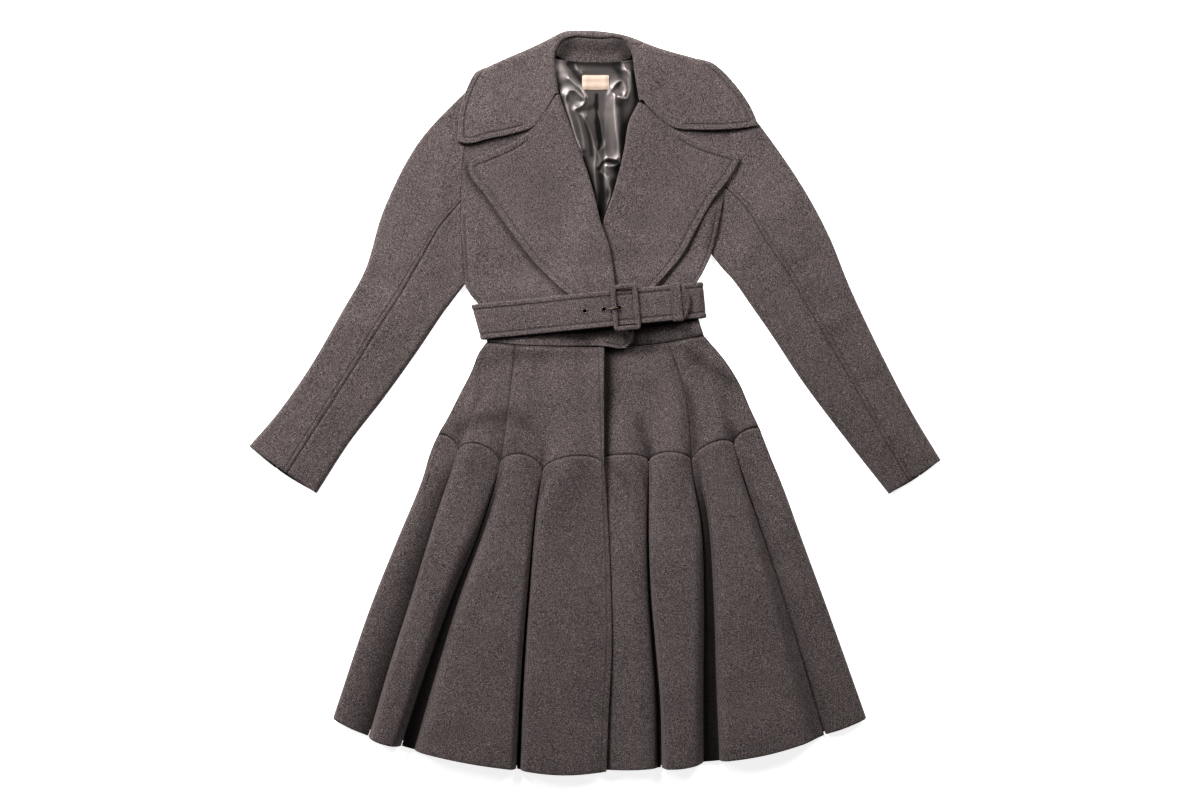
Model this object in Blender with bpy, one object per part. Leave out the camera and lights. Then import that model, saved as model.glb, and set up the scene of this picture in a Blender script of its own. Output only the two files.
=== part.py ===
"""Belted wool coat with a fluted skirt, laid face up on a flat surface.

The tables are in millimetres and the meshes in metres. +X is to the right as seen from above, +Y is
towards the collar and +Z is up. Right and left are the wearer's, so the right side has negative X.
"""

import math
from collections import namedtuple

import bpy
import numpy as np

MM = 0.001

CLOTH = 2.4  # wall of one layer of the wool
DOUBLE = 3.2  # collar and lapels: cloth and facing, pressed together
LINING = 1.0
STRAP = 4.4  # belt: two layers with a stiffener
SEAM = 0.4  # gap between pieces that are sewn edge to edge
REST = 0.8  # gap between pieces that lie on each other

BACK_LEVEL = CLOTH / 2  # middle of the back wall, which rests on the surface
SIDE_LEVEL = 4.2  # middle of the front wall where it meets the back at the side
FRONT_LEVEL = 5.8  # middle of the front wall elsewhere, above the lining
SIDE_EASE = 25.0  # width over which the front rises from the side
LEAF_RISE = CLOTH / 2 + REST + DOUBLE / 2  # a lapel's or collar's middle above the front's
ROLL_WIDTH = 55.0  # how far from its roll line a lapel or collar stays lifted

NECK_LIFT = 4.1  # the coat rides this much on the fall of the collar
WAIST_LIFT = 5.4  # and this much on the back of the belt
BELT_Y = 132.0  # middle line of the belt at X = 0
BELT_SLOPE = 0.098
BELT_WIDTH = 50.0

LAP_RISE = 3.4  # right front over the left one
LAPEL_LAP_RISE = 9.4  # right front over the left front and its lapel

STAND_LEVEL = 5.2  # middle of the collar stand at its seam with the back neck
STAND_RISE = 7.0  # the stand rises this much to the collar's roll
LABEL_X = -18.0  # upper corner of the label at the wearer's right
LABEL_Y = 473.0
LABEL_WIDTH = 39.0
LABEL_HEIGHT = 21.0

WOOL = (0.075, 0.064, 0.058, 1.0)
SATIN = (0.16, 0.145, 0.14, 1.0)
RIBBON = (0.62, 0.48, 0.38, 1.0)
METAL = {"colour": (0.35, 0.30, 0.26, 1.0), "roughness": 0.35, "metallic": 1.0}

# Edges and seams in plan, x and y, from the collar towards the hem.
NECK_RIGHT = [(-56, 510), (-56, 478), (-52, 446)]
NECK_LEFT = [(55, 504), (58, 478), (65, 436)]
ROLL_RIGHT = [(-51, 444), (-33, 394), (-14, 344), (-1, 302), (9, 261), (21, 226), (28, 184), (33, 140)]
ROLL_LEFT = [(64, 433), (50, 405), (44, 370), (30, 312), (11, 257), (-1, 213), (-14, 162), (-21, 138)]
GORGE_RIGHT = [(-57, 440), (-74, 416), (-91, 394), (-124, 371), (-154, 358), (-177, 348), (-183, 342)]
GORGE_LEFT = [(70, 431), (91, 411), (116, 394), (153, 374), (188, 362), (205, 356), (210, 352)]
LAPEL_EDGE_RIGHT = [(-183, 342), (-179, 328), (-157, 298), (-131, 261), (-83, 198), (-36, 155), (-14, 140)]
LAPEL_EDGE_LEFT = [(210, 352), (204, 339), (167, 286), (146, 248), (128, 215), (93, 173), (66, 144)]
SIDE_RIGHT = [(-187, 169), (-177, 152), (-167, 140), (-161, 126)]
SIDE_LEFT = [(168, 213), (157, 188), (147, 170), (147, 135)]
SHOULDER_RIGHT = [(-171, 455), (-127, 470), (-92, 484), (-68, 498)]
SHOULDER_LEFT = [(193, 450), (131, 474), (92, 486), (68, 496)]
BACK_NECK = [(-60, 500), (-42, 493), (4, 489), (42, 492), (60, 497)]
WAIST_TOP_RIGHT = [(-161, 125), (-50, 121), (51, 119)]
WAIST_TOP_LEFT = [(-28, 119), (66, 121), (147, 133)]
WAIST_RIGHT = [(-155, 88), (-115, 83), (-50, 81), (15, 80), (47, 80)]
WAIST_LEFT = [(-28, 80), (66, 82), (107, 87), (158, 97)]
SKIRT_SIDE_RIGHT = [(-155, 87), (-165, 74), (-178, 44), (-196, 9), (-214, -26), (-226, -46)]
SKIRT_SIDE_LEFT = [(158, 96), (188, 61), (210, 26), (225, -9), (238, -36)]
PRINCESS_RIGHT = [(-115, 82), (-121, 25), (-128, -33), (-136, -93)]
PRINCESS_LEFT = [(107, 86), (118, 55), (130, 17), (137, -26), (140, -88)]
FRONT_EDGE = [(14, 79), (14, -20), (14, -94)]
UNDER_EDGE = [(-28, 79), (-22, -20), (-18, -99)]
BACK_HEM = [(-279, -490), (-204, -519), (-110, -527), (9, -531), (96, -526), (163, -521), (240, -504),
            (328, -479)]

# The collar unrolled flat: its outer edge runs beyond the shoulder line, where it turns to the back.
COLLAR_INNER = [(-52, 446), (-56, 478), (-55, 508), (-46, 521), (4, 525), (44, 521), (54, 504), (58, 478),
                (65, 436)]
COLLAR_OUTER = [(-197, 376), (-194, 419), (-183, 455), (-157, 499), (-86, 590), (4, 622), (95, 590),
                (153, 505), (190, 473), (228, 420), (236, 400)]
COLLAR_END_RIGHT = [(-52, 446), (-72, 420), (-89, 398), (-115, 389), (-152, 381), (-185, 374), (-197, 376)]
COLLAR_END_LEFT = [(65, 436), (91, 413), (115, 397), (146, 394), (182, 394), (220, 397), (236, 400)]
SHOULDER_LINE = [(-260, 450), (-184, 473), (-127, 498), (-92, 513), (-67, 525), (-46, 536), (-17, 538),
                 (14, 536), (43, 531), (92, 513), (153, 496), (240, 474)]

# Sections of each sleeve from the armhole to the cuff. seam: share of the width, from the outer edge, at
# which the front seam lies. depth: thickness of the flattened tube. bow: the section's bend.
SleeveRow = namedtuple("SleeveRow", "outer_x outer_y inner_x inner_y seam depth bow")
SLEEVE_RIGHT = [
    SleeveRow(-173, 463, -188, 171, 0.59, 7.0, -12.0),
    SleeveRow(-253, 378, -196, 160, 0.58, 9.0, -7.0),
    SleeveRow(-304, 281, -207, 145, 0.55, 12.0, 0.0),
    SleeveRow(-331, 194, -223, 123, 0.49, 14.5, 0.0),
    SleeveRow(-366, 130, -260, 68, 0.475, 15.0, 0.0),
    SleeveRow(-411, 52, -307, 3, 0.485, 15.0, 0.0),
    SleeveRow(-457, -14, -355, -59, 0.53, 14.5, 0.0),
    SleeveRow(-500, -64, -402, -132, 0.57, 14.0, 0.0),
]
SLEEVE_LEFT = [
    SleeveRow(196, 456, 169, 215, 0.595, 7.0, 10.0),
    SleeveRow(254, 381, 185, 194, 0.54, 9.0, 5.0),
    SleeveRow(302, 310, 202, 175, 0.555, 12.0, 0.0),
    SleeveRow(339, 241, 225, 142, 0.535, 14.5, 0.0),
    SleeveRow(370, 165, 257, 96, 0.51, 15.0, 0.0),
    SleeveRow(411, 78, 302, 28, 0.49, 15.0, 0.0),
    SleeveRow(456, -9, 360, -49, 0.53, 14.5, 0.0),
    SleeveRow(501, -84, 426, -133, 0.62, 14.0, 0.0),
]
SLEEVE_CROWN = 2.5  # how much the top of a sleeve stands above its edges
BACK_SEAM = 0.42  # share of the width at which the hidden seam of a sleeve lies
CUFF_SPILL = 7.0  # how far the under layer of a cuff shows past the top one

# The gores of the lower skirt, from the right side to the left. rise: height of its arched seam over the
# chord. sag: fall of the hem between its ends. crest, crest_top: height of its fold at the hem and at the
# seam. left_roll, right_roll: run over which the fold climbs at each end, as seen from above. left_low,
# right_low: share of the crest that is left at each end.
Gore = namedtuple("Gore", "name rise sag crest crest_top left_roll right_roll left_slot right_slot right_low")
GORES_RIGHT = [
    Gore("gore_right_4", 28.0, 1.0, 10.0, 5.0, 10.0, 34.0, 0.0, 0.0, 0.0),
    Gore("gore_right_3", 23.0, 2.0, 30.0, 8.0, 9.0, 16.0, 0.0, 0.0, 0.0),
    Gore("gore_right_2", 22.0, 4.0, 23.0, 7.0, 18.0, 9.0, 20.0, 0.0, 0.0),
    Gore("gore_right_1", 20.0, 6.0, 19.0, 8.0, 10.0, 60.0, 6.0, 0.0, 0.72),
]
GORES_LEFT = [
    Gore("gore_left_1", 17.0, 2.0, 16.0, 6.0, 75.0, 18.0, 0.0, 6.0, 0.0),
    Gore("gore_left_2", 16.0, 3.0, 28.0, 8.0, 9.0, 16.0, 0.0, 0.0, 0.0),
    Gore("gore_left_3", 18.0, 8.0, 22.0, 7.0, 14.0, 34.0, 24.0, 0.0, 0.0),
    Gore("gore_left_4", 28.0, 1.0, 9.0, 5.0, 26.0, 16.0, 0.0, 0.0, 0.0),
]
# Where the gores meet, from the arched seam to the hem.
MEETS_RIGHT = [
    [(-226, -47), (-233, -62), (-250, -113), (-286, -200), (-321, -287), (-379, -458)],
    [(-196, -75), (-210, -112), (-228, -165), (-266, -287), (-292, -367), (-327, -484)],
    [(-136, -93), (-144, -126), (-159, -171), (-207, -287), (-235, -364), (-280, -498)],
    [(-75, -102), (-83, -152), (-97, -287), (-106, -400), (-113, -531)],
    [(14, -94), (18, -142), (24, -258), (26, -345), (21, -454), (18, -534)],
]
MEETS_LEFT = [
    [(-18, -99), (-14, -200), (-13, -350), (-16, -531)],
    [(79, -88), (78, -130), (82, -287), (88, -354), (95, -436), (97, -529)],
    [(140, -88), (144, -116), (154, -171), (159, -287), (158, -403), (158, -521)],
    [(201, -65), (220, -126), (234, -165), (278, -296), (304, -380), (334, -482)],
    [(238, -37), (248, -62), (270, -115), (301, -200), (333, -287), (394, -458)],
]
VALLEY_LEVEL = 4.2
YOKE_RIDGE = 4.0  # how much the yoke lifts towards the crown of each arch
BLEND = 0.35  # share of a gore's length over which its folds grow

# The strap from its tip to the bar of the buckle, along the belt line: height of its middle.
StrapRow = namedtuple("StrapRow", "along height")
STRAP_OVER = [
    StrapRow(139, 22.0), StrapRow(118, 23.2), StrapRow(96, 24.4), StrapRow(72, 25.6), StrapRow(47, 27.2),
    StrapRow(29, 29.6), StrapRow(8, 30.0), StrapRow(-14, 29.8), StrapRow(-31, 28.8), StrapRow(-48, 25.0),
    StrapRow(-66, 20.5), StrapRow(-90, 17.2), StrapRow(-130, 16.0), StrapRow(-160, 15.6),
]
STRAP_UNDER = [
    StrapRow(148, 16.2), StrapRow(118, 18.0), StrapRow(96, 19.2), StrapRow(74, 19.6), StrapRow(54, 19.6),
]
STRAP_LEFT_END = -172.0
STRAP_RIGHT_END = 160.0
STRAP_SLANT = 0.18  # how the fold at the right side of the coat leans

BUCKLE_ALONG = 45.0
BUCKLE_WIDTH = 39.0
BUCKLE_HEIGHT = 67.0
BUCKLE_BAR = 7.0
BUCKLE_DEPTH = 4.0
BUCKLE_LEVEL = 32.6
BUCKLE_TILT = -0.11  # the frame follows the slope of the strap
BAR_LEVEL = 23.0
PRONG = [
    StrapRow(43.2, 23.0), StrapRow(40, 22.4), StrapRow(37.6, 23.2), StrapRow(36.5, 26.0),
    StrapRow(35.9, 30.6), StrapRow(34.4, 34.8), StrapRow(31, 37.6), StrapRow(26.5, 37.7),
    StrapRow(19.5, 35.2),
]
PRONG_RADIUS = 0.9
BAR_RADIUS = 1.2
EYELETS = [-14.0, 14.0, 36.2]  # along the belt line
EYELET_HOLE = 2.5
EYELET_RIM = 4.0
KEEPER_ALONG = 119.0
KEEPER_WIDTH = 13.0

# Counts of the steps in each piece's grid.
SLEEVE_ROWS = 11
LAPEL_ROWS = 11
LAPEL_COLUMNS = 7
FRONT_ROWS = 12
FRONT_COLUMNS = 9
GORE_ROWS = 8
ROLL_STEPS = 3
FLAT_STEPS = 3
GORE_STEPS = 2 * ROLL_STEPS + FLAT_STEPS
CRISP = 20.0  # a fold that climbs in less than this is rounded like a tube
YOKE_ROWS = 6
COLLAR_ROWS = 28
COLLAR_TOP = 4
COLLAR_TURN = 5
COLLAR_FALL = 2
STRAP_ROWS = 20

# The largest folds of the lining, each a ridge from one point to another.
Fold = namedtuple("Fold", "x0 y0 x1 y1 height width")
LINING_FOLDS = [
    Fold(2, 440, 3, 330, 3.0, 6.0),
    Fold(-38, 440, -12, 372, 3.5, 8.0),
    Fold(44, 425, 20, 350, 3.0, 8.0),
    Fold(-14, 365, 14, 300, 3.0, 7.0),
]


def smooth(value):
    value = np.clip(value, 0.0, 1.0)
    return value * value * (3 - 2 * value)


def through(knots, shares):
    """A smooth function of a share that passes through the rows of knots at their own shares."""
    knots = np.array(knots, float)
    slopes = np.gradient(knots, shares, axis=0)

    def place(share):
        i = int(np.clip(np.searchsorted(shares, share, side="right") - 1, 0, len(shares) - 2))
        width = shares[i + 1] - shares[i]
        t = (share - shares[i]) / width
        rise = t * t * (3 - 2 * t)
        start = t * (1 - t) * (1 - t) * width
        end = t * t * (t - 1) * width
        return (1 - rise) * knots[i] + rise * knots[i + 1] + start * slopes[i] + end * slopes[i + 1]

    return place


def curve(points):
    """A smooth line through the points, as a function of the share of its length."""
    steps = np.linalg.norm(np.diff(np.array(points, float), axis=0), axis=1)
    return through(points, np.concatenate([[0.0], np.cumsum(steps)]) / steps.sum())


def table(rows):
    """The rows of a table as a function of the share of the way down it."""
    return through(rows, np.linspace(0, 1, len(rows)))


def heading(path, share, step=0.004):
    along = path(min(share + step, 1)) - path(max(share - step, 0))
    return along / np.linalg.norm(along)


def beside(path, distance):
    """The path moved sideways, to the right of its direction, by a length or a function of the share."""

    def place(share):
        along = heading(path, share)
        width = distance(share) if callable(distance) else distance
        return path(share) + width * np.array([along[1], -along[0]])

    return place


def patch(near, far, first, last):
    """Plan of a four-sided panel: near and far run across it, first and last run down it."""

    def place(across, down):
        edges = (1 - down) * near(across) + down * far(across)
        sides = (1 - across) * first(down) + across * last(down)
        top = (1 - across) * near(0) + across * near(1)
        bottom = (1 - across) * far(0) + across * far(1)
        return edges + sides - (1 - down) * top - down * bottom

    return place


def lift(x, y):
    """How far the coat rides on the collar's fall and on the back of the belt, both under it."""
    neck = NECK_LIFT * smooth((y - 345) / 75) * smooth((190 - abs(x)) / 45)
    off_belt = abs(y - BELT_Y - BELT_SLOPE * x)
    return neck + WAIST_LIFT * (1 - smooth((off_belt - 30) / 45))


LEFT_ROLL = curve(ROLL_LEFT + [(-26, 80)])
LEFT_ROLL_YX = sorted((LEFT_ROLL(k / 40)[1], LEFT_ROLL(k / 40)[0]) for k in range(41))


def lap(x, y):
    """How far the right front is raised where it crosses the left one."""
    roll_x = np.interp(y, [row[0] for row in LEFT_ROLL_YX], [row[1] for row in LEFT_ROLL_YX])
    rise = LAP_RISE + (LAPEL_LAP_RISE - LAP_RISE) * smooth((y - 95) / 35)
    return rise * smooth((x - roll_x + 60) / 50)


def leaf_rise(x):
    """A lapel's or collar's middle above the front's: more where it reaches over a sleeve."""
    return LEAF_RISE + 1.8 * smooth((abs(x) - 140) / 50)


def right_front(x, y):
    return FRONT_LEVEL + lift(x, y) + lap(x, y)


def left_front(x, y):
    return FRONT_LEVEL + lift(x, y)


def solid(name, points, faces, colour=WOOL, roughness=0.9, metallic=0.0):
    mesh = bpy.data.meshes.new(name)
    mesh.from_pydata([tuple(point) for point in np.asarray(points) * MM], [], faces)
    material = bpy.data.materials.new(name)
    material.use_nodes = True
    shader = material.node_tree.nodes["Principled BSDF"]
    shader.inputs["Base Color"].default_value = colour
    shader.inputs["Roughness"].default_value = roughness
    shader.inputs["Metallic"].default_value = metallic
    mesh.materials.append(material)
    made = bpy.data.objects.new(name, mesh)
    bpy.context.scene.collection.objects.link(made)
    return made


def pull_in(grid, distance):
    """The grid with its four edges moved inwards along the surface."""
    pulled = grid.copy()
    for axis in (0, 1):
        rows = np.moveaxis(grid, axis, 0)
        target = np.moveaxis(pulled, axis, 0)
        for edge, inner in ((0, 1), (-1, -2)):
            step = rows[inner] - rows[edge]
            target[edge] += distance * step / np.linalg.norm(step, axis=1)[:, None]
    return pulled


def wall(name, middle, thickness, loop=False, gap=SEAM, **finish):
    """A cloth wall of this thickness about a grid of points. In a loop the last row joins the first."""
    grid = np.array(middle, float)
    if loop:
        down = np.roll(grid, -1, axis=0) - np.roll(grid, 1, axis=0)
    else:
        grid = pull_in(grid, gap / 2)
        down = np.gradient(grid, axis=0)
    normal = np.cross(np.gradient(grid, axis=1), down)
    normal /= np.linalg.norm(normal, axis=2)[:, :, None]
    rows, columns = grid.shape[:2]
    points = np.concatenate([grid + normal * thickness / 2, grid - normal * thickness / 2])
    points = points.reshape(-1, 3)
    under = rows * columns

    def at(i, j):
        return (i % rows) * columns + j

    faces = []
    last = rows if loop else rows - 1
    for i in range(last):
        for j in range(columns - 1):
            quad = (at(i, j), at(i, j + 1), at(i + 1, j + 1), at(i + 1, j))
            faces.append(quad)
            faces.append(tuple(under + k for k in reversed(quad)))
        faces.append((at(i, 0), at(i + 1, 0), under + at(i + 1, 0), under + at(i, 0)))
        end = columns - 1
        faces.append((at(i + 1, end), at(i, end), under + at(i, end), under + at(i + 1, end)))
    if not loop:
        for j in range(columns - 1):
            faces.append((at(0, j + 1), at(0, j), under + at(0, j), under + at(0, j + 1)))
            end = rows - 1
            faces.append((at(end, j), at(end, j + 1), under + at(end, j + 1), under + at(end, j)))
    return solid(name, points, faces, **finish)


def panel(name, plan, height, columns, rows, thickness=CLOTH, **finish):
    """A panel laid out by its plan, at a height that is a function of x and y."""
    middle = []
    for i in range(rows + 1):
        points = [plan(j / columns, i / rows) for j in range(columns + 1)]
        middle.append([(x, y, height(x, y)) for x, y in points])
    return wall(name, middle, thickness, **finish)


def sleeve_plan(rows, down, across):
    """A point of the sleeve's outline plan: across is 0 at the outer edge and 1 at the inner one."""
    outer_x, outer_y, inner_x, inner_y, _, _, bow = table(rows)(down)
    outer = np.array([outer_x, outer_y])
    inner = np.array([inner_x, inner_y])
    chord = inner - outer
    side = np.array([-chord[1], chord[0]]) / np.linalg.norm(chord)
    toward = math.copysign(1, bow) * math.copysign(1, side[0])
    return outer + across * chord + abs(bow) * toward * math.sin(math.pi * across) * side


def sleeve_point(rows, down, across, turn):
    """A point in the wall of a sleeve. turn is 0 on its top, 180 below and between them round an edge."""
    outer_x, outer_y, inner_x, inner_y, _, depth, _ = table(rows)(down)
    width = math.hypot(inner_x - outer_x, inner_y - outer_y)
    radius = (depth - CLOTH) / 2
    reach = radius * math.sin(math.radians(turn)) / width
    share = across - reach if across < 0.5 else across + reach
    x, y = sleeve_plan(rows, down, share)
    crown = SLEEVE_CROWN * math.sin(math.pi * across) ** 2 * smooth(down / 0.3)
    above = (1 + math.cos(math.radians(turn))) / 2
    z = BACK_LEVEL + above * (2 * radius + crown)
    spill = CUFF_SPILL * (1 - above) * math.sin(math.pi * across) * max(0, down - 0.9) / 0.1
    ahead = sleeve_plan(rows, 1, across) - sleeve_plan(rows, 0.9, across)
    x, y = np.array([x, y]) + spill * ahead / np.linalg.norm(ahead)
    return (x, y, z)


def sleeve_piece(name, rows, edge):
    """The top sleeve wraps the outer edge (edge 0) and the under sleeve the inner one (edge 1)."""
    middle = []
    for i in range(SLEEVE_ROWS + 1):
        down = i / SLEEVE_ROWS
        outer_x, outer_y, inner_x, inner_y, seam, depth, _ = table(rows)(down)
        width = math.hypot(inner_x - outer_x, inner_y - outer_y)
        bend = depth / 2 / width if edge == 0 else 1 - depth / 2 / width
        points = [(share, 0) for share in np.linspace(seam, bend, 5)]
        points += [(bend, turn) for turn in (45, 90, 135)]
        points += [(share, 180) for share in np.linspace(bend, BACK_SEAM, 4)]
        middle.append([sleeve_point(rows, down, share, turn) for share, turn in points])
    return wall(name, middle, CLOTH)


def roll_radius(share):
    """Radius of a lapel's roll: open at the neck, pressed flatter at the waist."""
    return 3.3 - 1.1 * smooth((share - 0.2) / 0.4)


def lapel(name, roll, gorge, edge, side, height):
    """The front turned back along its roll line: a leaf that lies on the front, curled down at the roll."""
    inner = beside(roll, lambda share: side * (roll_radius(share) + DOUBLE / 2))
    ends = [inner(1), edge(1)]
    plan = patch(curve([tuple(inner(0))] + gorge[1:]), curve(ends), inner, edge)
    middle = []
    for i in range(LAPEL_ROWS + 1):
        down = i / LAPEL_ROWS
        radius = roll_radius(down)
        start = inner(down)
        out = (roll(down) - start) / np.linalg.norm(roll(down) - start)
        level = height(*start) + radius
        points = []
        for turn in (180, 140, 100, 60, 25):
            x, y = start + radius * math.sin(math.radians(turn)) * out
            points.append((x, y, level + radius * math.cos(math.radians(turn))))
        for j in range(LAPEL_COLUMNS + 1):
            x, y = plan(j / LAPEL_COLUMNS, down)
            away = math.hypot(*(np.array([x, y]) - start))
            spring = (2 * radius - LEAF_RISE) * (1 - smooth(away / ROLL_WIDTH))
            bridge = 1.2 * smooth((y - 166) / 18) * smooth((260 - y) / 40)
            points.append((x, y, height(x, y) + leaf_rise(x) + spring + bridge))
        middle.append(points)
    return wall(name, middle, DOUBLE)


def front(name, neck, roll, shoulder, armhole, side_edge, waist_top, side, height):
    """A front bodice, from the armhole and side to just short of its roll."""
    inner = beside(curve(neck + roll), lambda share: side * (roll_radius(share - 0.2) + DOUBLE / 2 + 1.8))
    outer = curve(armhole + side_edge)
    top = curve([armhole[0]] + shoulder[1:-1] + [tuple(inner(0))])
    bottom = curve([tuple(outer(1))] + waist_top + [tuple(inner(1))])
    plan = patch(top, bottom, outer, inner)
    middle = []
    for i in range(FRONT_ROWS + 1):
        down = i / FRONT_ROWS
        points = []
        for j in range(FRONT_COLUMNS + 1):
            x, y = plan(j / FRONT_COLUMNS, down)
            away = math.hypot(*(np.array([x, y]) - outer(down)))
            drop = (FRONT_LEVEL - SIDE_LEVEL) * (1 - smooth(away / SIDE_EASE))
            points.append((x, y, height(x, y) - drop))
        middle.append(points)
    return wall(name, middle, CLOTH)


def arch(gore, t):
    """Height of the seam over a gore's chord. The gores at the sides show half an arch."""
    if gore is GORES_RIGHT[0]:
        return gore.rise * (math.sqrt(max(0, 1 - t * t)) + t - 1)
    if gore is GORES_LEFT[-1]:
        return gore.rise * (math.sqrt(max(0, 1 - (1 - t) ** 2)) - t)
    return gore.rise * math.sqrt(max(0, 1 - (2 * t - 1) ** 2))


def arched_seam(gores, meets):
    """The seam over neighbouring gores, as a function of the share across them."""
    ends = [np.array(meet[0], float) for meet in meets]

    def place(share):
        k = min(int(share * len(gores)), len(gores) - 1)
        t = share * len(gores) - k
        return (1 - t) * ends[k] + t * ends[k + 1] + np.array([0, arch(gores[k], t)])

    return place


def yoke_height(x, y, across, down, gores, side_gap, height):
    """Height of a yoke panel: the front's level, low at the side and lifted over each whole arch."""
    k = min(int(across * len(gores)), len(gores) - 1)
    t = across * len(gores) - k
    ridge = 0 if gores[k] in (GORES_RIGHT[0], GORES_LEFT[-1]) else math.sin(math.pi * t) ** 2
    if gores[k] is GORES_LEFT[0]:
        ridge *= smooth((x - 16) / 30)
    drop = (FRONT_LEVEL - SIDE_LEVEL) * (1 - smooth(side_gap / SIDE_EASE))
    return height(x, y) + YOKE_RIDGE * down * down * ridge - drop


class Yoke:
    """A panel between the waist seam and the arched seam over two gores."""

    def __init__(self, name, top, first, last, gores, meets, side, height):
        self.name = name
        self.gores = gores
        self.side = side
        self.height = height
        self.first = curve(first)
        self.last = curve(last)
        self.plan = patch(curve(top), arched_seam(gores, meets), self.first, self.last)

    def point(self, across, down):
        x, y = self.plan(across, down)
        edge = self.first(down) if self.side < 0 else self.last(down)
        gap = math.hypot(x - edge[0], y - edge[1]) if self.side else 2 * SIDE_EASE
        return (x, y, yoke_height(x, y, across, down, self.gores, gap, self.height))

    def build(self):
        shares = np.linspace(0, 1, 2 * GORE_STEPS + 1)
        middle = [[self.point(across, i / YOKE_ROWS) for across in shares] for i in range(YOKE_ROWS + 1)]
        return wall(self.name, middle, CLOTH)


def gore_profile(gore, width, full_width, crest, down):
    """Steps across a gore: share of its width and share of its crest."""
    halves = []
    sides = ((gore.left_roll, gore.left_slot, 0.0), (gore.right_roll, gore.right_slot, gore.right_low))
    for roll, slot, low in sides:
        crisp = roll < CRISP
        run = min(roll if crisp else roll * width / full_width, 0.68 * width)
        floor = slot * (0.25 + 0.75 * down)
        half = [(0.0, low)] if slot else []
        steps = ROLL_STEPS - len(half)
        for k in range(steps):
            angle = math.radians(90 * k / steps)
            share = 1 - math.cos(angle) if crisp else k / steps
            climb = math.sin(angle) if crisp else smooth(k / steps)
            half.append((floor + share * run, low + (1 - low) * climb))
        half.append((floor + run, 1.0))
        steep = math.atan2((half[1][1] - half[0][1]) * crest, half[1][0])
        inset = 0.5 + CLOTH / 2 * math.sin(steep)
        halves.append([((inset + reach) / width, climb) for reach, climb in half])
    left, right = halves
    span = 1 - right[-1][0] - left[-1][0]
    flat = [(left[-1][0] + k / FLAT_STEPS * span, 1.04) for k in range(1, FLAT_STEPS)]
    return left + flat + [(1 - share, climb) for share, climb in reversed(right)]


def gore_piece(gore, k, yoke, meets):
    """One gore of the lower skirt, sewn to its yoke and folded deeper towards the hem."""
    first = curve(meets[0])
    last = curve(meets[1])
    hem_left = np.array(meets[0][-1], float)
    hem_right = np.array(meets[1][-1], float)

    def hem(share):
        drop = np.array([0, -gore.sag * math.sin(math.pi * share)])
        return (1 - share) * hem_left + share * hem_right + drop

    def seam(share):
        return np.array(yoke.point((k + share) / 2, 1)[:2])

    plan = patch(seam, hem, first, last)
    full_width = np.linalg.norm(hem_right - hem_left)
    middle = []
    for i in range(GORE_ROWS + 1):
        down = (i / GORE_ROWS) ** 1.2
        crest = gore.crest_top + (gore.crest - gore.crest_top) * down ** 0.8
        steps = gore_profile(gore, np.linalg.norm(last(down) - first(down)), full_width, crest, down)
        grown = smooth(down / BLEND)
        points = []
        for j, (share, climb) in enumerate(steps):
            even = j / (len(steps) - 1)
            spread = smooth(down / 0.15)
            x, y = plan((1 - spread) * even + spread * share, down)
            top = yoke.point((k + even) / 2, 1)[2]
            points.append((x, y, (1 - grown) * top + grown * (VALLEY_LEVEL + crest * climb)))
        middle.append(points)
    return wall(gore.name, middle, CLOTH, gap=0.9)


SHOULDER_STEPS = np.array([curve(SHOULDER_LINE)(k / 300) for k in range(301)])
FALL_LEVEL = DOUBLE / 2
FALL_START = 7.0  # the collar starts to turn this far short of the shoulder line
FALL_END = 13.0  # and has turned right under this far beyond it, measured along the cloth


def past_shoulder(point):
    """How far a point of the flat collar lies beyond the shoulder line, and the way out across it."""
    gaps = np.linalg.norm(SHOULDER_STEPS - point, axis=1)
    k = int(np.clip(np.argmin(gaps), 2, len(gaps) - 3))
    along = SHOULDER_STEPS[k + 2] - SHOULDER_STEPS[k - 2]
    out = np.array([-along[1], along[0]]) / np.linalg.norm(along)
    return float((point - SHOULDER_STEPS[k]) @ out), out


def turn_over(point, level):
    """The flat collar turned over the shoulder line: what lies beyond it goes round and below the back."""
    beyond, out = past_shoulder(point)
    foot = point - beyond * out
    radius = (level - FALL_LEVEL) / 2
    edge = DOUBLE / 2
    bend = beyond + edge + radius
    if bend <= 0:
        return (*point, level)
    if bend < math.pi * radius:
        flat = foot + out * (radius * math.sin(bend / radius) - radius - edge)
        return (*flat, FALL_LEVEL + radius * (1 + math.cos(bend / radius)))
    flat = foot - out * (bend - math.pi * radius + radius + edge)
    return (*flat, FALL_LEVEL)


def collar_shares(plan, along):
    """Shares across the collar, placed closer together where it turns over the shoulder line."""
    shares = np.linspace(0, 1, 61)
    past = np.array([past_shoulder(plan(share, along))[0] for share in shares])
    bend = float(np.clip(np.interp(-FALL_START, past, shares), 0.05, 0.8))
    fall = min(0.93, float(np.interp(FALL_END, past, shares)))
    fall = max(fall, bend + 0.06)
    turn = np.linspace(bend, fall, COLLAR_TURN + 1)
    return [*np.linspace(0, bend, COLLAR_TOP + 1), *turn[1:], *np.linspace(fall, 1, COLLAR_FALL + 1)[1:]]


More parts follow.
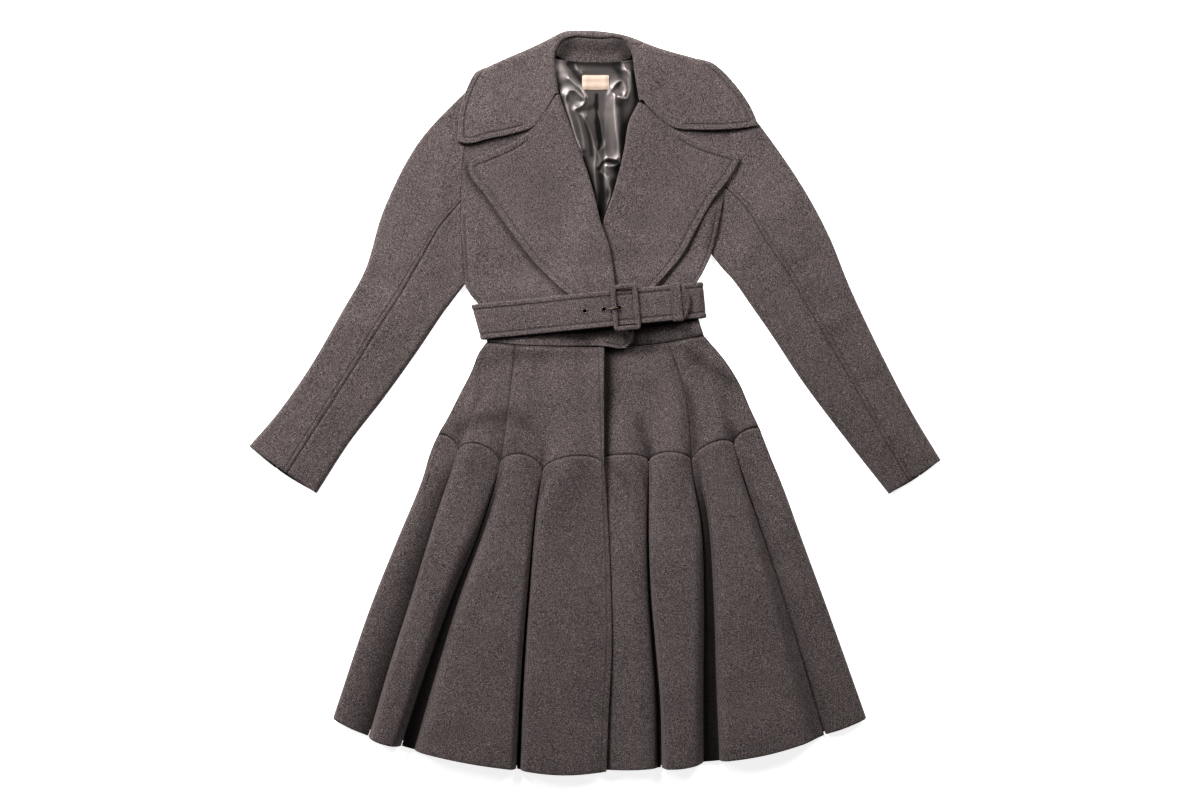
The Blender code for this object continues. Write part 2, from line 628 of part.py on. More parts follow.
def collar():
    """The collar from its roll to its outer edge, with its fall turned under at the back of the neck."""
    radius = roll_radius(0)
    inner = curve(COLLAR_INNER)
    start = beside(inner, -(radius + DOUBLE / 2))
    right_end = curve([tuple(start(0))] + COLLAR_END_RIGHT[1:])
    left_end = curve([tuple(start(1))] + COLLAR_END_LEFT[1:])
    plan = patch(right_end, left_end, start, curve(COLLAR_OUTER))
    middle = []
    for i in range(COLLAR_ROWS + 1):
        along = i / COLLAR_ROWS
        begin = start(along)
        out = (inner(along) - begin) / np.linalg.norm(inner(along) - begin)
        points = []
        for turn in (180, 140, 100, 60, 25):
            x, y = begin + radius * math.sin(math.radians(turn)) * out
            points.append((x, y, left_front(*begin) + radius * (1 + math.cos(math.radians(turn)))))
        for share in collar_shares(plan, along):
            point = plan(share, along)
            spring = (2 * radius - LEAF_RISE) * (1 - smooth(np.linalg.norm(point - begin) / ROLL_WIDTH))
            points.append(turn_over(point, left_front(*point) + leaf_rise(point[0]) + spring))
        middle.append(points)
    return wall("collar", middle, DOUBLE)


def lining_height(x, y):
    """Height of the neck lining: on the back, with its largest folds where it is free."""
    height = BACK_LEVEL + lift(x, y) + CLOTH / 2 + 0.4 + LINING / 2
    for fold in LINING_FOLDS:
        start = np.array([fold.x0, fold.y0], float)
        along = np.array([fold.x1, fold.y1], float) - start
        length = np.linalg.norm(along)
        offset = np.array([x, y]) - start
        share = float(offset @ along) / length ** 2
        aside = abs(float(offset[0] * along[1] - offset[1] * along[0])) / length
        taper = smooth((share + 0.25) / 0.4) * smooth((1.25 - share) / 0.4)
        height += fold.height * math.exp(-((aside / fold.width) ** 2)) * taper
    return height


def belt_place(along, across):
    """Plan position on the belt line, which leans a little where it folds round the right side."""
    lean = STRAP_SLANT * across * smooth((-along - 110) / 50)
    direction = np.array([1, BELT_SLOPE]) / math.hypot(1, BELT_SLOPE)
    side = np.array([-direction[1], direction[0]])
    return np.array([0, BELT_Y]) + (along - lean) * direction + across * side


def strap_height(along):
    rows = sorted(STRAP_OVER)
    alongs = np.array([row.along for row in rows], float)
    return float(through([(row.height,) for row in rows], alongs)(along)[0])


def strap():
    """The belt from its free tip through the buckle, round the coat and back to the buckle's bar."""
    low = STRAP / 2
    path = []
    for along in np.linspace(STRAP_OVER[0].along, STRAP_OVER[-1].along, STRAP_ROWS):
        path.append((along, strap_height(along)))
    wraps = ((STRAP_LEFT_END, STRAP_OVER[-1].height, -1), (STRAP_RIGHT_END, STRAP_UNDER[0].height, 1))
    for end, top, way in wraps:
        radius = (top - low) / 2
        centre = end - way * (radius + STRAP / 2)
        turns = (20, 55, 90, 125, 160)
        if way > 0:
            path += [(along, low) for along in np.linspace(centre, STRAP_LEFT_END + 10, 7)][::-1]
            turns = turns[::-1]
        for turn in turns:
            angle = math.radians(turn)
            path.append((centre + way * radius * math.sin(angle), low + radius * (1 + math.cos(angle))))
    under = through([(row.height,) for row in reversed(STRAP_UNDER)],
                    np.array([row.along for row in reversed(STRAP_UNDER)], float))
    for along in np.linspace(STRAP_UNDER[0].along, STRAP_UNDER[-1].along, 8):
        path.append((along, float(under(along)[0])))
    shares = np.linspace(-0.5, 0.5, 5) * BELT_WIDTH
    middle = [[(*belt_place(along, across), z) for across in shares] for along, z in path]
    made = wall("belt_strap", middle, STRAP)
    for k, along in enumerate(EYELETS):
        ends = [(along, 0, strap_height(along) + z) for z in (-STRAP, STRAP)]
        cut = rod("eyelet_cutter_%d" % k, ends, EYELET_HOLE, 12)
        cut.hide_render = True
        cut.display_type = "WIRE"
        hole = made.modifiers.new(cut.name, "BOOLEAN")
        hole.object = cut
        hole.solver = "EXACT"
    return made


def rod(name, path, radius, sides, **finish):
    """A round rod along a path of belt line points: along, across and height."""
    spine = np.array([(*belt_place(along, across), z) for along, across, z in path], float)
    points = []
    for i in range(len(spine)):
        tangent = spine[min(i + 1, len(spine) - 1)] - spine[max(i - 1, 0)]
        tangent /= np.linalg.norm(tangent)
        side = np.array([-BELT_SLOPE, 1, 0]) if abs(tangent[1]) < 0.8 else np.array([1, BELT_SLOPE, 0])
        side = side - (side @ tangent) * tangent
        side /= np.linalg.norm(side)
        other = np.cross(tangent, side)
        for k in range(sides):
            angle = 2 * math.pi * k / sides
            points.append(spine[i] + radius * (math.cos(angle) * side + math.sin(angle) * other))
    faces = []
    for i in range(len(spine) - 1):
        for k in range(sides):
            after = (k + 1) % sides
            faces.append((i * sides + k, i * sides + after, (i + 1) * sides + after, (i + 1) * sides + k))
    faces.append(tuple(reversed(range(sides))))
    faces.append(tuple((len(spine) - 1) * sides + k for k in range(sides)))
    return solid(name, points, faces, **finish)


def ring(name, rows, **finish):
    """A closed ring from rows of section points, each row joined to the next and the last to the first."""
    count = len(rows[0])
    points = [point for row in rows for point in row]
    faces = []
    for i in range(len(rows)):
        j = (i + 1) % len(rows)
        for k in range(count):
            after = (k + 1) % count
            faces.append((i * count + k, i * count + after, j * count + after, j * count + k))
    return solid(name, points, faces, **finish)


def rounded_box(half_width, half_height, corner, steps):
    """Points round a rectangle with rounded corners, with the outward direction at each."""
    found = []
    for k, (sx, sy) in enumerate(((1, 1), (-1, 1), (-1, -1), (1, -1))):
        for step in range(steps + 1):
            angle = math.radians(90 * k + 90 * step / steps)
            out = np.array([math.cos(angle), math.sin(angle)])
            centre = np.array([sx * (half_width - corner), sy * (half_height - corner)])
            found.append((centre + corner * out, out))
    return found


def buckle_frame():
    """The cloth-covered frame: a rounded bar bent into a rectangle, lying on the strap."""
    half = BUCKLE_BAR / 2
    rows = []
    for place, out in rounded_box(BUCKLE_WIDTH / 2 - half, BUCKLE_HEIGHT / 2 - half, 2.0, 3):
        section = []
        for k in range(10):
            angle = 2 * math.pi * k / 10
            wide = half * math.copysign(abs(math.cos(angle)) ** 0.7, math.cos(angle))
            high = BUCKLE_DEPTH / 2 * math.copysign(abs(math.sin(angle)) ** 0.7, math.sin(angle))
            along, across = place + wide * out
            level = BUCKLE_LEVEL + BUCKLE_TILT * along
            section.append((*belt_place(BUCKLE_ALONG + along, across), level + high))
        rows.append(section[::-1])
    return ring("buckle_frame", rows)


def eyelet(name, along):
    """A flat metal ring on the strap, made from the strap's own height."""
    rows = []
    middle = (EYELET_HOLE + EYELET_RIM) / 2
    for i in range(16):
        angle = 2 * math.pi * i / 16
        section = []
        for out, up in ((-1, 0), (-0.6, 1), (0.6, 1), (1, 0)):
            reach = middle + out * (EYELET_RIM - EYELET_HOLE) / 2
            offset = reach * math.cos(angle)
            place = belt_place(along + offset, reach * math.sin(angle))
            section.append((*place, strap_height(along + offset) + STRAP / 2 + SEAM + 0.8 * up))
        rows.append(section)
    return ring(name, rows, **METAL)


def keeper():
    """The loop that holds the strap's tip, round both layers of the belt."""
    wall_thickness = 1.6
    over = strap_height(KEEPER_ALONG) + STRAP / 2 + 0.5 + wall_thickness / 2
    under = STRAP_UNDER[1].height - STRAP / 2 - 0.5 - wall_thickness / 2
    middle = []
    for place, _ in rounded_box(BELT_WIDTH / 2 + 2.2, (over - under) / 2, 2.4, 3):
        row = []
        for offset in (-KEEPER_WIDTH / 2, 0, KEEPER_WIDTH / 2):
            z = (over + under) / 2 + place[1] - 0.05 * offset
            row.append((*belt_place(KEEPER_ALONG + offset, place[0]), z))
        middle.append(row)
    return wall("belt_keeper", middle, wall_thickness, loop=True)


def armhole(rows, inward):
    """The sleeve's first section, moved a little towards the body."""
    shares = (0.02, 0.2, 0.4, 0.6, 0.8, 0.96)
    return [tuple(sleeve_plan(rows, 0, share) + np.array([inward, 0])) for share in shares]


def back_pieces():
    """The back: flat on the surface, raised only over the collar's fall and the belt."""

    def height(x, y):
        return BACK_LEVEL + lift(x, y)

    left = armhole(SLEEVE_RIGHT, 1.0) + SIDE_RIGHT
    right = armhole(SLEEVE_LEFT, -1.0) + SIDE_LEFT
    top = [left[0]] + SHOULDER_RIGHT[1:3] + BACK_NECK + SHOULDER_LEFT[2:0:-1] + [right[0]]
    waist_top = curve([left[-1], (0, 124), right[-1]])
    panel("back_bodice", patch(curve(top), waist_top, curve(left), curve(right)), height, 12, 12)
    band_top = curve([(-161, 125), (0, 123), (147, 134)])
    band_low = [(-155, 88), (0, 84), (158, 97)]
    band = patch(band_top, curve(band_low), curve([(-161, 125), (-155, 88)]), curve([(147, 134), (158, 97)]))
    panel("back_waistband", band, height, 10, 3)
    waist = curve([(-155, 87), (0, 83), (160, 96)])
    seam = [(-226, -46), (0, -88), (238, -36)]
    yoke = patch(waist, curve(seam), curve(SKIRT_SIDE_RIGHT), curve(SKIRT_SIDE_LEFT))
    panel("back_skirt_yoke", yoke, height, 10, 8)
    below_seam = curve([(x, y - 1) for x, y in seam])
    hem = curve([MEETS_RIGHT[0][-1]] + BACK_HEM + [MEETS_LEFT[-1][-1]])
    lower = patch(below_seam, hem, curve(MEETS_RIGHT[0]), curve(MEETS_LEFT[-1]))
    panel("back_lower_skirt", lower, height, 12, 6)


def front_pieces():
    """The fronts with their lapels, and the bands below the belt."""
    front("front_bodice_right", NECK_RIGHT, ROLL_RIGHT + [(36, 121)], SHOULDER_RIGHT,
          armhole(SLEEVE_RIGHT, 1.0), SIDE_RIGHT, [(-50, 122)], 1, right_front)
    front("front_bodice_left", NECK_LEFT, ROLL_LEFT + [(-25, 121)], SHOULDER_LEFT,
          armhole(SLEEVE_LEFT, -1.0), SIDE_LEFT, [(66, 123)], -1, left_front)
    lapel("lapel_right", curve(ROLL_RIGHT), GORGE_RIGHT, curve(LAPEL_EDGE_RIGHT), 1, right_front)
    lapel("lapel_left", curve(ROLL_LEFT), GORGE_LEFT, curve(LAPEL_EDGE_LEFT), -1, left_front)
    tab = curve([(51, 119), (55, 102), (53, 86), (47, 80)])
    band = patch(curve(WAIST_TOP_RIGHT), curve(WAIST_RIGHT), curve([(-161, 125), (-155, 88)]), tab)
    panel("waistband_right", band, right_front, 12, 4)
    edge = curve([(147, 133), (152, 115), (158, 97)])
    band = patch(curve(WAIST_TOP_LEFT), curve(WAIST_LEFT), curve([(-28, 119), (-28, 80)]), edge)
    panel("waistband_left", band, left_front, 10, 3)


def skirt_pieces():
    """The four yoke panels of the skirt's front, each with its two gores."""
    side_top = [(-155, 87), (-115, 82)]
    front_top = [(-115, 82), (-50, 80), (14, 79)]
    left_top = [(x, y - 1) for x, y in WAIST_LEFT]
    yokes = [
        Yoke("skirt_side_right", side_top, SKIRT_SIDE_RIGHT, PRINCESS_RIGHT,
             GORES_RIGHT[:2], MEETS_RIGHT[:3], -1, right_front),
        Yoke("skirt_front_right", front_top, PRINCESS_RIGHT, FRONT_EDGE,
             GORES_RIGHT[2:], MEETS_RIGHT[2:], 0, right_front),
        Yoke("skirt_front_left", left_top[:3], UNDER_EDGE, PRINCESS_LEFT,
             GORES_LEFT[:2], MEETS_LEFT[:3], 0, left_front),
        Yoke("skirt_side_left", left_top[2:], PRINCESS_LEFT, SKIRT_SIDE_LEFT,
             GORES_LEFT[2:], MEETS_LEFT[2:], 1, left_front),
    ]
    for k, yoke in enumerate(yokes):
        yoke.build()
        meets = (MEETS_RIGHT if k < 2 else MEETS_LEFT)[k % 2 * 2:]
        for j, gore in enumerate(yoke.gores):
            gore_piece(gore, j, yoke, meets[j:j + 2])


def neck_pieces():
    """The collar and what shows inside the neck: its stand, the lining and the label."""
    collar()
    stand_top = curve([(-45, 517), (4, 521.5), (43, 517)])
    stand_low = curve([(-52, 499), (-42, 495), (4, 491), (42, 494), (52, 498)])
    stand = patch(stand_top, stand_low, curve([(-45, 517), (-52, 499)]), curve([(43, 517), (52, 498)]))
    panel("collar_stand", stand, lambda x, y: STAND_LEVEL + STAND_RISE * smooth((y - 494) / 30), 8, 5)
    left = curve([(-66, 487), (-64, 444), (-47, 394), (-28, 344), (-14, 302), (-6, 250)])
    right = curve([(68, 487), (77, 434), (63, 400), (57, 370), (44, 312), (24, 250)])
    plan = patch(curve([(-66, 487), (4, 486), (68, 487)]), curve([(-6, 250), (24, 250)]), left, right)
    panel("neck_lining", plan, lining_height, 10, 14, LINING, colour=SATIN, roughness=0.35)

    def label(across, down):
        return np.array([LABEL_X + across * LABEL_WIDTH, LABEL_Y - down * LABEL_HEIGHT])

    panel("neck_label", label, lambda x, y: lining_height(x, y) + LINING + SEAM, 4, 2, LINING,
          colour=RIBBON, roughness=0.6)


def belt_pieces():
    """The belt, its covered buckle with the bar and prong, the eyelets and the keeper."""
    strap()
    buckle_frame()
    reach = BUCKLE_HEIGHT / 2 - BUCKLE_BAR / 2
    top = BUCKLE_LEVEL - BUCKLE_DEPTH / 2 - SEAM
    bend = 2.0
    half_bar = [(0, BAR_LEVEL), (reach - bend, BAR_LEVEL), (reach, BAR_LEVEL + bend), (reach, top)]
    bar = [(-across, z) for across, z in half_bar[:0:-1]] + half_bar
    rod("buckle_bar", [(BUCKLE_ALONG, across, z) for across, z in bar], BAR_RADIUS, 8, **METAL)
    rod("buckle_prong", [(row.along, 0, row.height) for row in PRONG], PRONG_RADIUS, 8, **METAL)
    for k, along in enumerate(EYELETS):
        eyelet("eyelet_%d" % (k + 1), along)
    keeper()


def build():
    """The whole coat, from its back on the surface to the buckle on top."""
    for old in list(bpy.data.objects):
        bpy.data.objects.remove(old)
    back_pieces()
    front_pieces()
    skirt_pieces()
    for side, rows in (("right", SLEEVE_RIGHT), ("left", SLEEVE_LEFT)):
        sleeve_piece("sleeve_top_" + side, rows, 0)
        sleeve_piece("sleeve_under_" + side, rows, 1)
    neck_pieces()
    belt_pieces()


build()
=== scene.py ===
import math
from collections import namedtuple

import bpy
import numpy as np
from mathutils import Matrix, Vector, noise


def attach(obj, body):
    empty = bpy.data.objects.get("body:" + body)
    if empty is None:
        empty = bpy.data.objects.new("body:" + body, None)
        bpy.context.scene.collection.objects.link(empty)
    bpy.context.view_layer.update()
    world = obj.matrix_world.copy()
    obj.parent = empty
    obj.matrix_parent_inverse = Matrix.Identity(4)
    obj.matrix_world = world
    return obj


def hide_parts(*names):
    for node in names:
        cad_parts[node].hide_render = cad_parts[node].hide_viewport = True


# A belted wool coat with a fluted skirt, laid face up. Sizes are in mm until a mesh is made.
# +X is right as seen from above, +Y is towards the collar. Right and left are the wearer's.
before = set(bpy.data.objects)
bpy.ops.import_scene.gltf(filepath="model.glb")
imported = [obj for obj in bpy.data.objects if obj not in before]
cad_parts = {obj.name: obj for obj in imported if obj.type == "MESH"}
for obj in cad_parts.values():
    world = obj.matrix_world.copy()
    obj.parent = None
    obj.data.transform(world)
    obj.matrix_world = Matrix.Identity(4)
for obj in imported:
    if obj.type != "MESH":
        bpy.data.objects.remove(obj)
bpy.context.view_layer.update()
print("frame loaded:", len(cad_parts), "pieces")

mm = 0.001
wool = {"wall": 2.4, "double": 3.2, "strap": 4.4, "lining": 1.0, "seam": 0.4, "rest": 0.8}
levels = {"back": 1.2, "side": 4.2, "front": 5.8, "sideEase": 25.0, "valley": 4.2}
belt = {"y": 132.0, "slope": 0.098, "width": 50.0}

# Edges and seams in plan, from the collar towards the hem.
neckRight = [(-56, 510), (-56, 478), (-52, 446)]
neckLeft = [(55, 504), (58, 478), (65, 436)]
rollRight = [(-51, 444), (-33, 394), (-14, 344), (-1, 302), (9, 261), (21, 226), (28, 184), (33, 140)]
rollLeft = [(64, 433), (50, 405), (44, 370), (30, 312), (11, 257), (-1, 213), (-14, 162), (-21, 138)]
gorgeRight = [(-57, 440), (-74, 416), (-91, 394), (-124, 371), (-154, 358), (-177, 348), (-183, 342)]
gorgeLeft = [(70, 431), (91, 411), (116, 394), (153, 374), (188, 362), (205, 356), (210, 352)]
lapelEdgeRight = [(-183, 342), (-179, 328), (-157, 298), (-131, 261), (-83, 198), (-36, 155), (-14, 140)]
lapelEdgeLeft = [(210, 352), (204, 339), (167, 286), (146, 248), (128, 215), (93, 173), (66, 144)]
sideRight = [(-187, 169), (-177, 152), (-167, 140), (-161, 126)]
sideLeft = [(168, 213), (157, 188), (147, 170), (147, 135)]
shoulderRight = [(-127, 470), (-92, 484)]
shoulderLeft = [(131, 474), (92, 486)]
backNeck = [(-60, 500), (-42, 493), (4, 489), (42, 492), (60, 497)]
waistTopRight = [(-161, 125), (-50, 121), (51, 119)]
waistTopLeft = [(-28, 119), (66, 121), (147, 133)]
waistRight = [(-155, 88), (-115, 83), (-50, 81), (15, 80), (38, 77), (46, 78)]
waistLeft = [(-28, 80), (66, 82), (107, 87), (158, 97)]
skirtSideRight = [(-155, 87), (-165, 74), (-178, 44), (-196, 9), (-214, -26), (-226, -46)]
skirtSideLeft = [(158, 96), (188, 61), (210, 26), (225, -9), (238, -36)]
princessRight = [(-115, 82), (-121, 25), (-128, -33), (-136, -93)]
princessLeft = [(107, 86), (118, 55), (130, 17), (137, -26), (140, -88)]
frontEdge = [(14, 79), (14, -20), (14, -94)]
underEdge = [(-28, 79), (-22, -20), (-18, -99)]
backHem = [(-279, -490), (-204, -519), (-110, -527), (9, -531), (96, -526), (163, -521), (240, -504),
           (328, -479)]


# Curves and panels
def smooth(value):
    value = np.clip(value, 0.0, 1.0)
    return value * value * (3 - 2 * value)


def through(knots, shares):
    knots = np.array(knots, float)
    shares = np.array(shares, float)
    slopes = np.gradient(knots, shares, axis=0)

    def place(share):
        share = np.asarray(share, float)
        i = np.clip(np.searchsorted(shares, share, side="right") - 1, 0, len(shares) - 2)
        width = shares[i + 1] - shares[i]
        t = ((share - shares[i]) / width)[..., None]
        width = np.asarray(width)[..., None]
        rise = t * t * (3 - 2 * t)
        start = t * (1 - t) * (1 - t) * width
        end = t * t * (t - 1) * width
        return (1 - rise) * knots[i] + rise * knots[i + 1] + start * slopes[i] + end * slopes[i + 1]

    return place


def runOf(points):
    # the distance of each point from the first one, along the path
    steps = np.linalg.norm(np.diff(np.array(points, float), axis=0), axis=1)
    return np.concatenate([[0.0], np.cumsum(steps)])


def curve(points):
    run = runOf(points)
    return through(points, run / run[-1])


def table(rows):
    return through(rows, np.linspace(0, 1, len(rows)))


def evenly(count):
    return np.linspace(0, 1, count)


def unit(vectors):
    return vectors / np.linalg.norm(vectors, axis=-1, keepdims=True)


def beside(path, distance, step=0.004):
    # the path moved to the right of its direction
    def place(share):
        share = np.asarray(share, float)
        along = unit(path(np.minimum(share + step, 1)) - path(np.maximum(share - step, 0)))
        width = np.asarray(distance(share) if callable(distance) else distance)
        return path(share) + width[..., None] * np.stack([along[..., 1], -along[..., 0]], -1)

    return place


def patch(near, far, first, last):
    def place(across, down):
        across = np.asarray(across, float)
        down = np.asarray(down, float)
        a, d = across[..., None], down[..., None]
        edges = (1 - d) * near(across) + d * far(across)
        sides = (1 - a) * first(down) + a * last(down)
        top = (1 - a) * near(0) + a * near(1)
        bottom = (1 - a) * far(0) + a * far(1)
        return edges + sides - (1 - d) * top - d * bottom

    return place


def graded(length, coarse, start=False, end=False, fine=1.4, reach=14.0):
    # shares along a length, close together at an end that has a sewn edge
    near = np.arange(0, reach + 0.1, fine)
    first = near if start else np.array([0.0])
    last = length - near[::-1] if end else np.array([length])
    count = max(2, int(round((last[0] - first[-1]) / coarse)) + 1)
    middle = np.linspace(first[-1], last[0], count)
    return np.concatenate([first[:-1], middle, last[1:]]) / length


def stack(xy, z):
    return np.concatenate([xy, np.asarray(z)[..., None]], -1)


# How high the layers lie
lifts = {
    "neck": 4.1, "neckFrom": 345.0, "neckRun": 75.0, "neckHalf": 190.0, "neckEase": 45.0,
    "waist": 5.4, "waistHalf": 30.0, "waistEase": 45.0,
    "lap": 3.4, "lapelLap": 9.4, "lapelFrom": 95.0, "lapelRun": 35.0, "lapReach": 60.0, "lapEase": 50.0,
}
leaf = {
    "rise": wool["wall"] / 2 + wool["rest"] + wool["double"] / 2, "rollWidth": 55.0,
    "tip": 1.8, "tipFrom": 140.0, "tipRun": 50.0,
}
leftRollLine = curve(rollLeft + [(-26, 80)])(np.linspace(1, 0, 41))


def lift(x, y):
    neck = lifts["neck"] * smooth((y - lifts["neckFrom"]) / lifts["neckRun"])
    neck = neck * smooth((lifts["neckHalf"] - abs(x)) / lifts["neckEase"])
    offBelt = abs(y - belt["y"] - belt["slope"] * x)
    return neck + lifts["waist"] * (1 - smooth((offBelt - lifts["waistHalf"]) / lifts["waistEase"]))


def lap(x, y):
    rollX = np.interp(y, leftRollLine[:, 1], leftRollLine[:, 0])
    climb = smooth((y - lifts["lapelFrom"]) / lifts["lapelRun"])
    rise = lifts["lap"] + (lifts["lapelLap"] - lifts["lap"]) * climb
    return rise * smooth((x - rollX + lifts["lapReach"]) / lifts["lapEase"])


def leafRise(x):
    return leaf["rise"] + leaf["tip"] * smooth((abs(x) - leaf["tipFrom"]) / leaf["tipRun"])


def spring(radius, away):
    # what a roll adds to the height of the leaf beside it
    return (2 * radius - leaf["rise"]) * (1 - smooth(away / leaf["rollWidth"]))


def sideDrop(gap):
    # the fronts come down towards a side seam
    return (levels["front"] - levels["side"]) * (1 - smooth(gap / levels["sideEase"]))


def rightFront(x, y):
    return levels["front"] + lift(x, y) + lap(x, y)


def leftFront(x, y):
    return levels["front"] + lift(x, y)


def backHeight(x, y):
    return levels["back"] + lift(x, y)


# Soft creases in plan: a ridge, or a trough where height is negative, that fades out at both ends
Crease = namedtuple("Crease", "x0 y0 x1 y1 height width")
creaseEnds = {"past": 0.15, "run": 0.45}


def creased(x, y, rows):
    total = np.zeros_like(x)
    past, run = creaseEnds["past"], creaseEnds["run"]
    for row in rows:
        dx, dy = row.x1 - row.x0, row.y1 - row.y0
        length = math.hypot(dx, dy)
        share = ((x - row.x0) * dx + (y - row.y0) * dy) / length ** 2
        aside = ((x - row.x0) * dy - (y - row.y0) * dx) / length
        fade = smooth((share + past) / run) * smooth((1 + past - share) / run)
        total += row.height * soft(aside / row.width) * fade
    return total


Fold = namedtuple("Fold", "height width path")


def strokes(x, y, folds, shape, width=None):
    # what the folds add up to, by the distance from their paths
    total = np.zeros_like(x)
    for fold in folds:
        path = curve(fold.path)(evenly(8 * len(fold.path)))
        gap = np.full(x.shape, 1e3)
        for a, b in zip(path, path[1:]):
            along = b - a
            share = np.clip(((x - a[0]) * along[0] + (y - a[1]) * along[1]) / (along @ along), 0, 1)
            gap = np.minimum(gap, np.hypot(x - a[0] - share * along[0], y - a[1] - share * along[1]))
        total += fold.height * shape(gap / (width or fold.width))
    return total


def soft(gap):
    return np.exp(-(gap ** 2))


def shadeOf(grid, folds, base=0.0):
    return np.clip(base + strokes(grid[..., 0], grid[..., 1], folds, soft), 0, 1)


Wave = namedtuple("Wave", "size height seed")


def uneven(x, y, wave):
    # the slow waviness that pressed wool keeps
    flat = [noise.noise((a / wave.size, b / wave.size, wave.seed)) for a, b in zip(x.ravel(), y.ravel())]
    return wave.height * np.array(flat).reshape(x.shape)


# Cloth walls
sideNames = ("top", "bottom", "left", "right")  # first row, last row, first column, last column
noLine = 99.0  # stands for no stitch line or seam near
sewing = {
    "dips": {"seam": 0.8, "pressed": 0.3}, "dipWidth": 2.0, "swell": 0.6, "swellAt": 6.0, "swellWidth": 3.5,
    "groove": 0.6, "grooveWidth": 1.5, "welt": 0.5, "weltRun": 3.0, "gorgeFrom": 18.0,
}
rim = {"bulge": 0.45, "flush": 0.05, "angles": (50, 0, -50), "hair": 0.02, "mostPull": 0.6}


def runs(grid):
    # distance of each point from the four sides, measured along the cloth
    across = np.linalg.norm(np.diff(grid, axis=1), axis=2)
    down = np.linalg.norm(np.diff(grid, axis=0), axis=2)
    rows, columns = grid.shape[:2]
    left = np.concatenate([np.zeros((rows, 1)), np.cumsum(across, axis=1)], axis=1)
    top = np.concatenate([np.zeros((1, columns)), np.cumsum(down, axis=0)], axis=0)
    return {"left": left, "right": left[:, -1:] - left, "top": top, "bottom": top[-1:] - top}


def cutSize(grid):
    # width, length and area of the flat cut of a grid, in metres
    gaps = runs(grid)
    width = gaps["left"][:, -1].max() * mm
    length = gaps["top"][-1].max() * mm
    a = grid[1:, 1:] - grid[:-1, :-1]
    b = grid[1:, :-1] - grid[:-1, 1:]
    area = 0.5 * np.linalg.norm(np.cross(a, b), axis=2).sum() * mm * mm
    return width, length, min(area, width * length)


def normalsOf(grid, loop=False):
    if loop:
        down = np.roll(grid, -1, axis=0) - np.roll(grid, 1, axis=0)
    else:
        down = np.gradient(grid, axis=0)
    normal = np.cross(np.gradient(grid, axis=1), down)
    normal = unit(normal)
    highest = np.unravel_index(np.argmax(grid[..., 2]), grid.shape[:2])
    return normal, 1.0 if normal[highest][2] > 0 else -1.0


def sideOf(edges, side):
    # what is done along a side: "seam", "pressed" (a flat seam), "free", "flush" or "gorge" (sewn up to its
    # stitches), a stitch line's distance and where it fades in
    found = tuple(edges.get(side, ("seam",)))
    return found + (None,) * (3 - len(found))


def fadeAlong(gaps, side, span):
    # 0 to 1 along a side, over the two shares given in span
    if span is None:
        return 1.0
    near = gaps["top"] if side in ("left", "right") else gaps["left"]
    far = gaps["bottom"] if side in ("left", "right") else gaps["right"]
    return smooth((near / np.maximum(near + far, 1e-6) - span[0]) / (span[1] - span[0]))


def pullIn(grid, distance, edges):
    # the sides moved in, so that the rounded rim ends where the cloth is cut
    pulled = grid.copy()
    for axis, names in ((0, ("top", "bottom")), (1, ("left", "right"))):
        rows = np.moveaxis(grid, axis, 0)
        target = np.moveaxis(pulled, axis, 0)
        for edge, inner, side in ((0, 1, names[0]), (-1, -2, names[1])):
            step = rows[inner] - rows[edge]
            length = np.linalg.norm(step, axis=1, keepdims=True)
            inward = rim["hair"] if sideOf(edges, side)[0] in ("flush", "pressed") else distance
            target[edge] += np.minimum(inward, rim["mostPull"] * length) * step / length
    return pulled


def edgeRelief(gaps, edges):
    # sewn sides dip into their seam, stitched ones have a groove with a soft welt outside it
    relief = 0.0
    offStitch = offSeam = np.full(gaps["left"].shape, noLine)
    for side in sideNames:
        kind, stitch, span = sideOf(edges, side)
        gap = gaps[side]
        fade = fadeAlong(gaps, side, span)
        nearer = np.minimum(offSeam, gap)
        if kind in sewing["dips"]:
            swell = sewing["swell"] * soft((gap - sewing["swellAt"]) / sewing["swellWidth"])
            relief = relief - fade * sewing["dips"][kind] * (soft(gap / sewing["dipWidth"]) - swell)
            offSeam = np.where(fade > 0.5, nearer, offSeam)
        if kind == "gorge":
            offSeam = np.where((fade < 0.5) & (gaps["left"] > sewing["gorgeFrom"]), nearer, offSeam)
        if stitch:
            offStitch = np.where(fade > 0.5, np.minimum(offStitch, gap - stitch), offStitch)
    groove = sewing["groove"] * soft(offStitch / sewing["grooveWidth"])
    welt = sewing["welt"] * smooth(-offStitch / sewing["weltRun"])
    return relief - groove + welt, offStitch, offSeam


def ringOf(rows, columns):
    # the boundary of a grid, in order
    ring = [(0, j) for j in range(columns)]
    ring += [(i, columns - 1) for i in range(1, rows)]
    ring += [(rows - 1, j) for j in range(columns - 2, -1, -1)]
    ring += [(i, 0) for i in range(rows - 2, 0, -1)]
    return ring


def meshObject(name, points, faces, finish, attributes=None):
    mesh = bpy.data.meshes.new(name)
    mesh.from_pydata([tuple(point) for point in np.asarray(points) * mm], [], faces)
    plain = np.full(len(points), noLine)
    attributes = attributes or {"stitchLine": plain, "seamLine": plain}
    for key, values in attributes.items():
        layer = mesh.attributes.new(key, "FLOAT", "POINT")
        layer.data.foreach_set("value", np.asarray(values, np.float32))
    mesh.shade_smooth()
    mesh.materials.append(finish)
    piece = bpy.data.objects.new(name, mesh)
    bpy.context.scene.collection.objects.link(piece)
    return piece


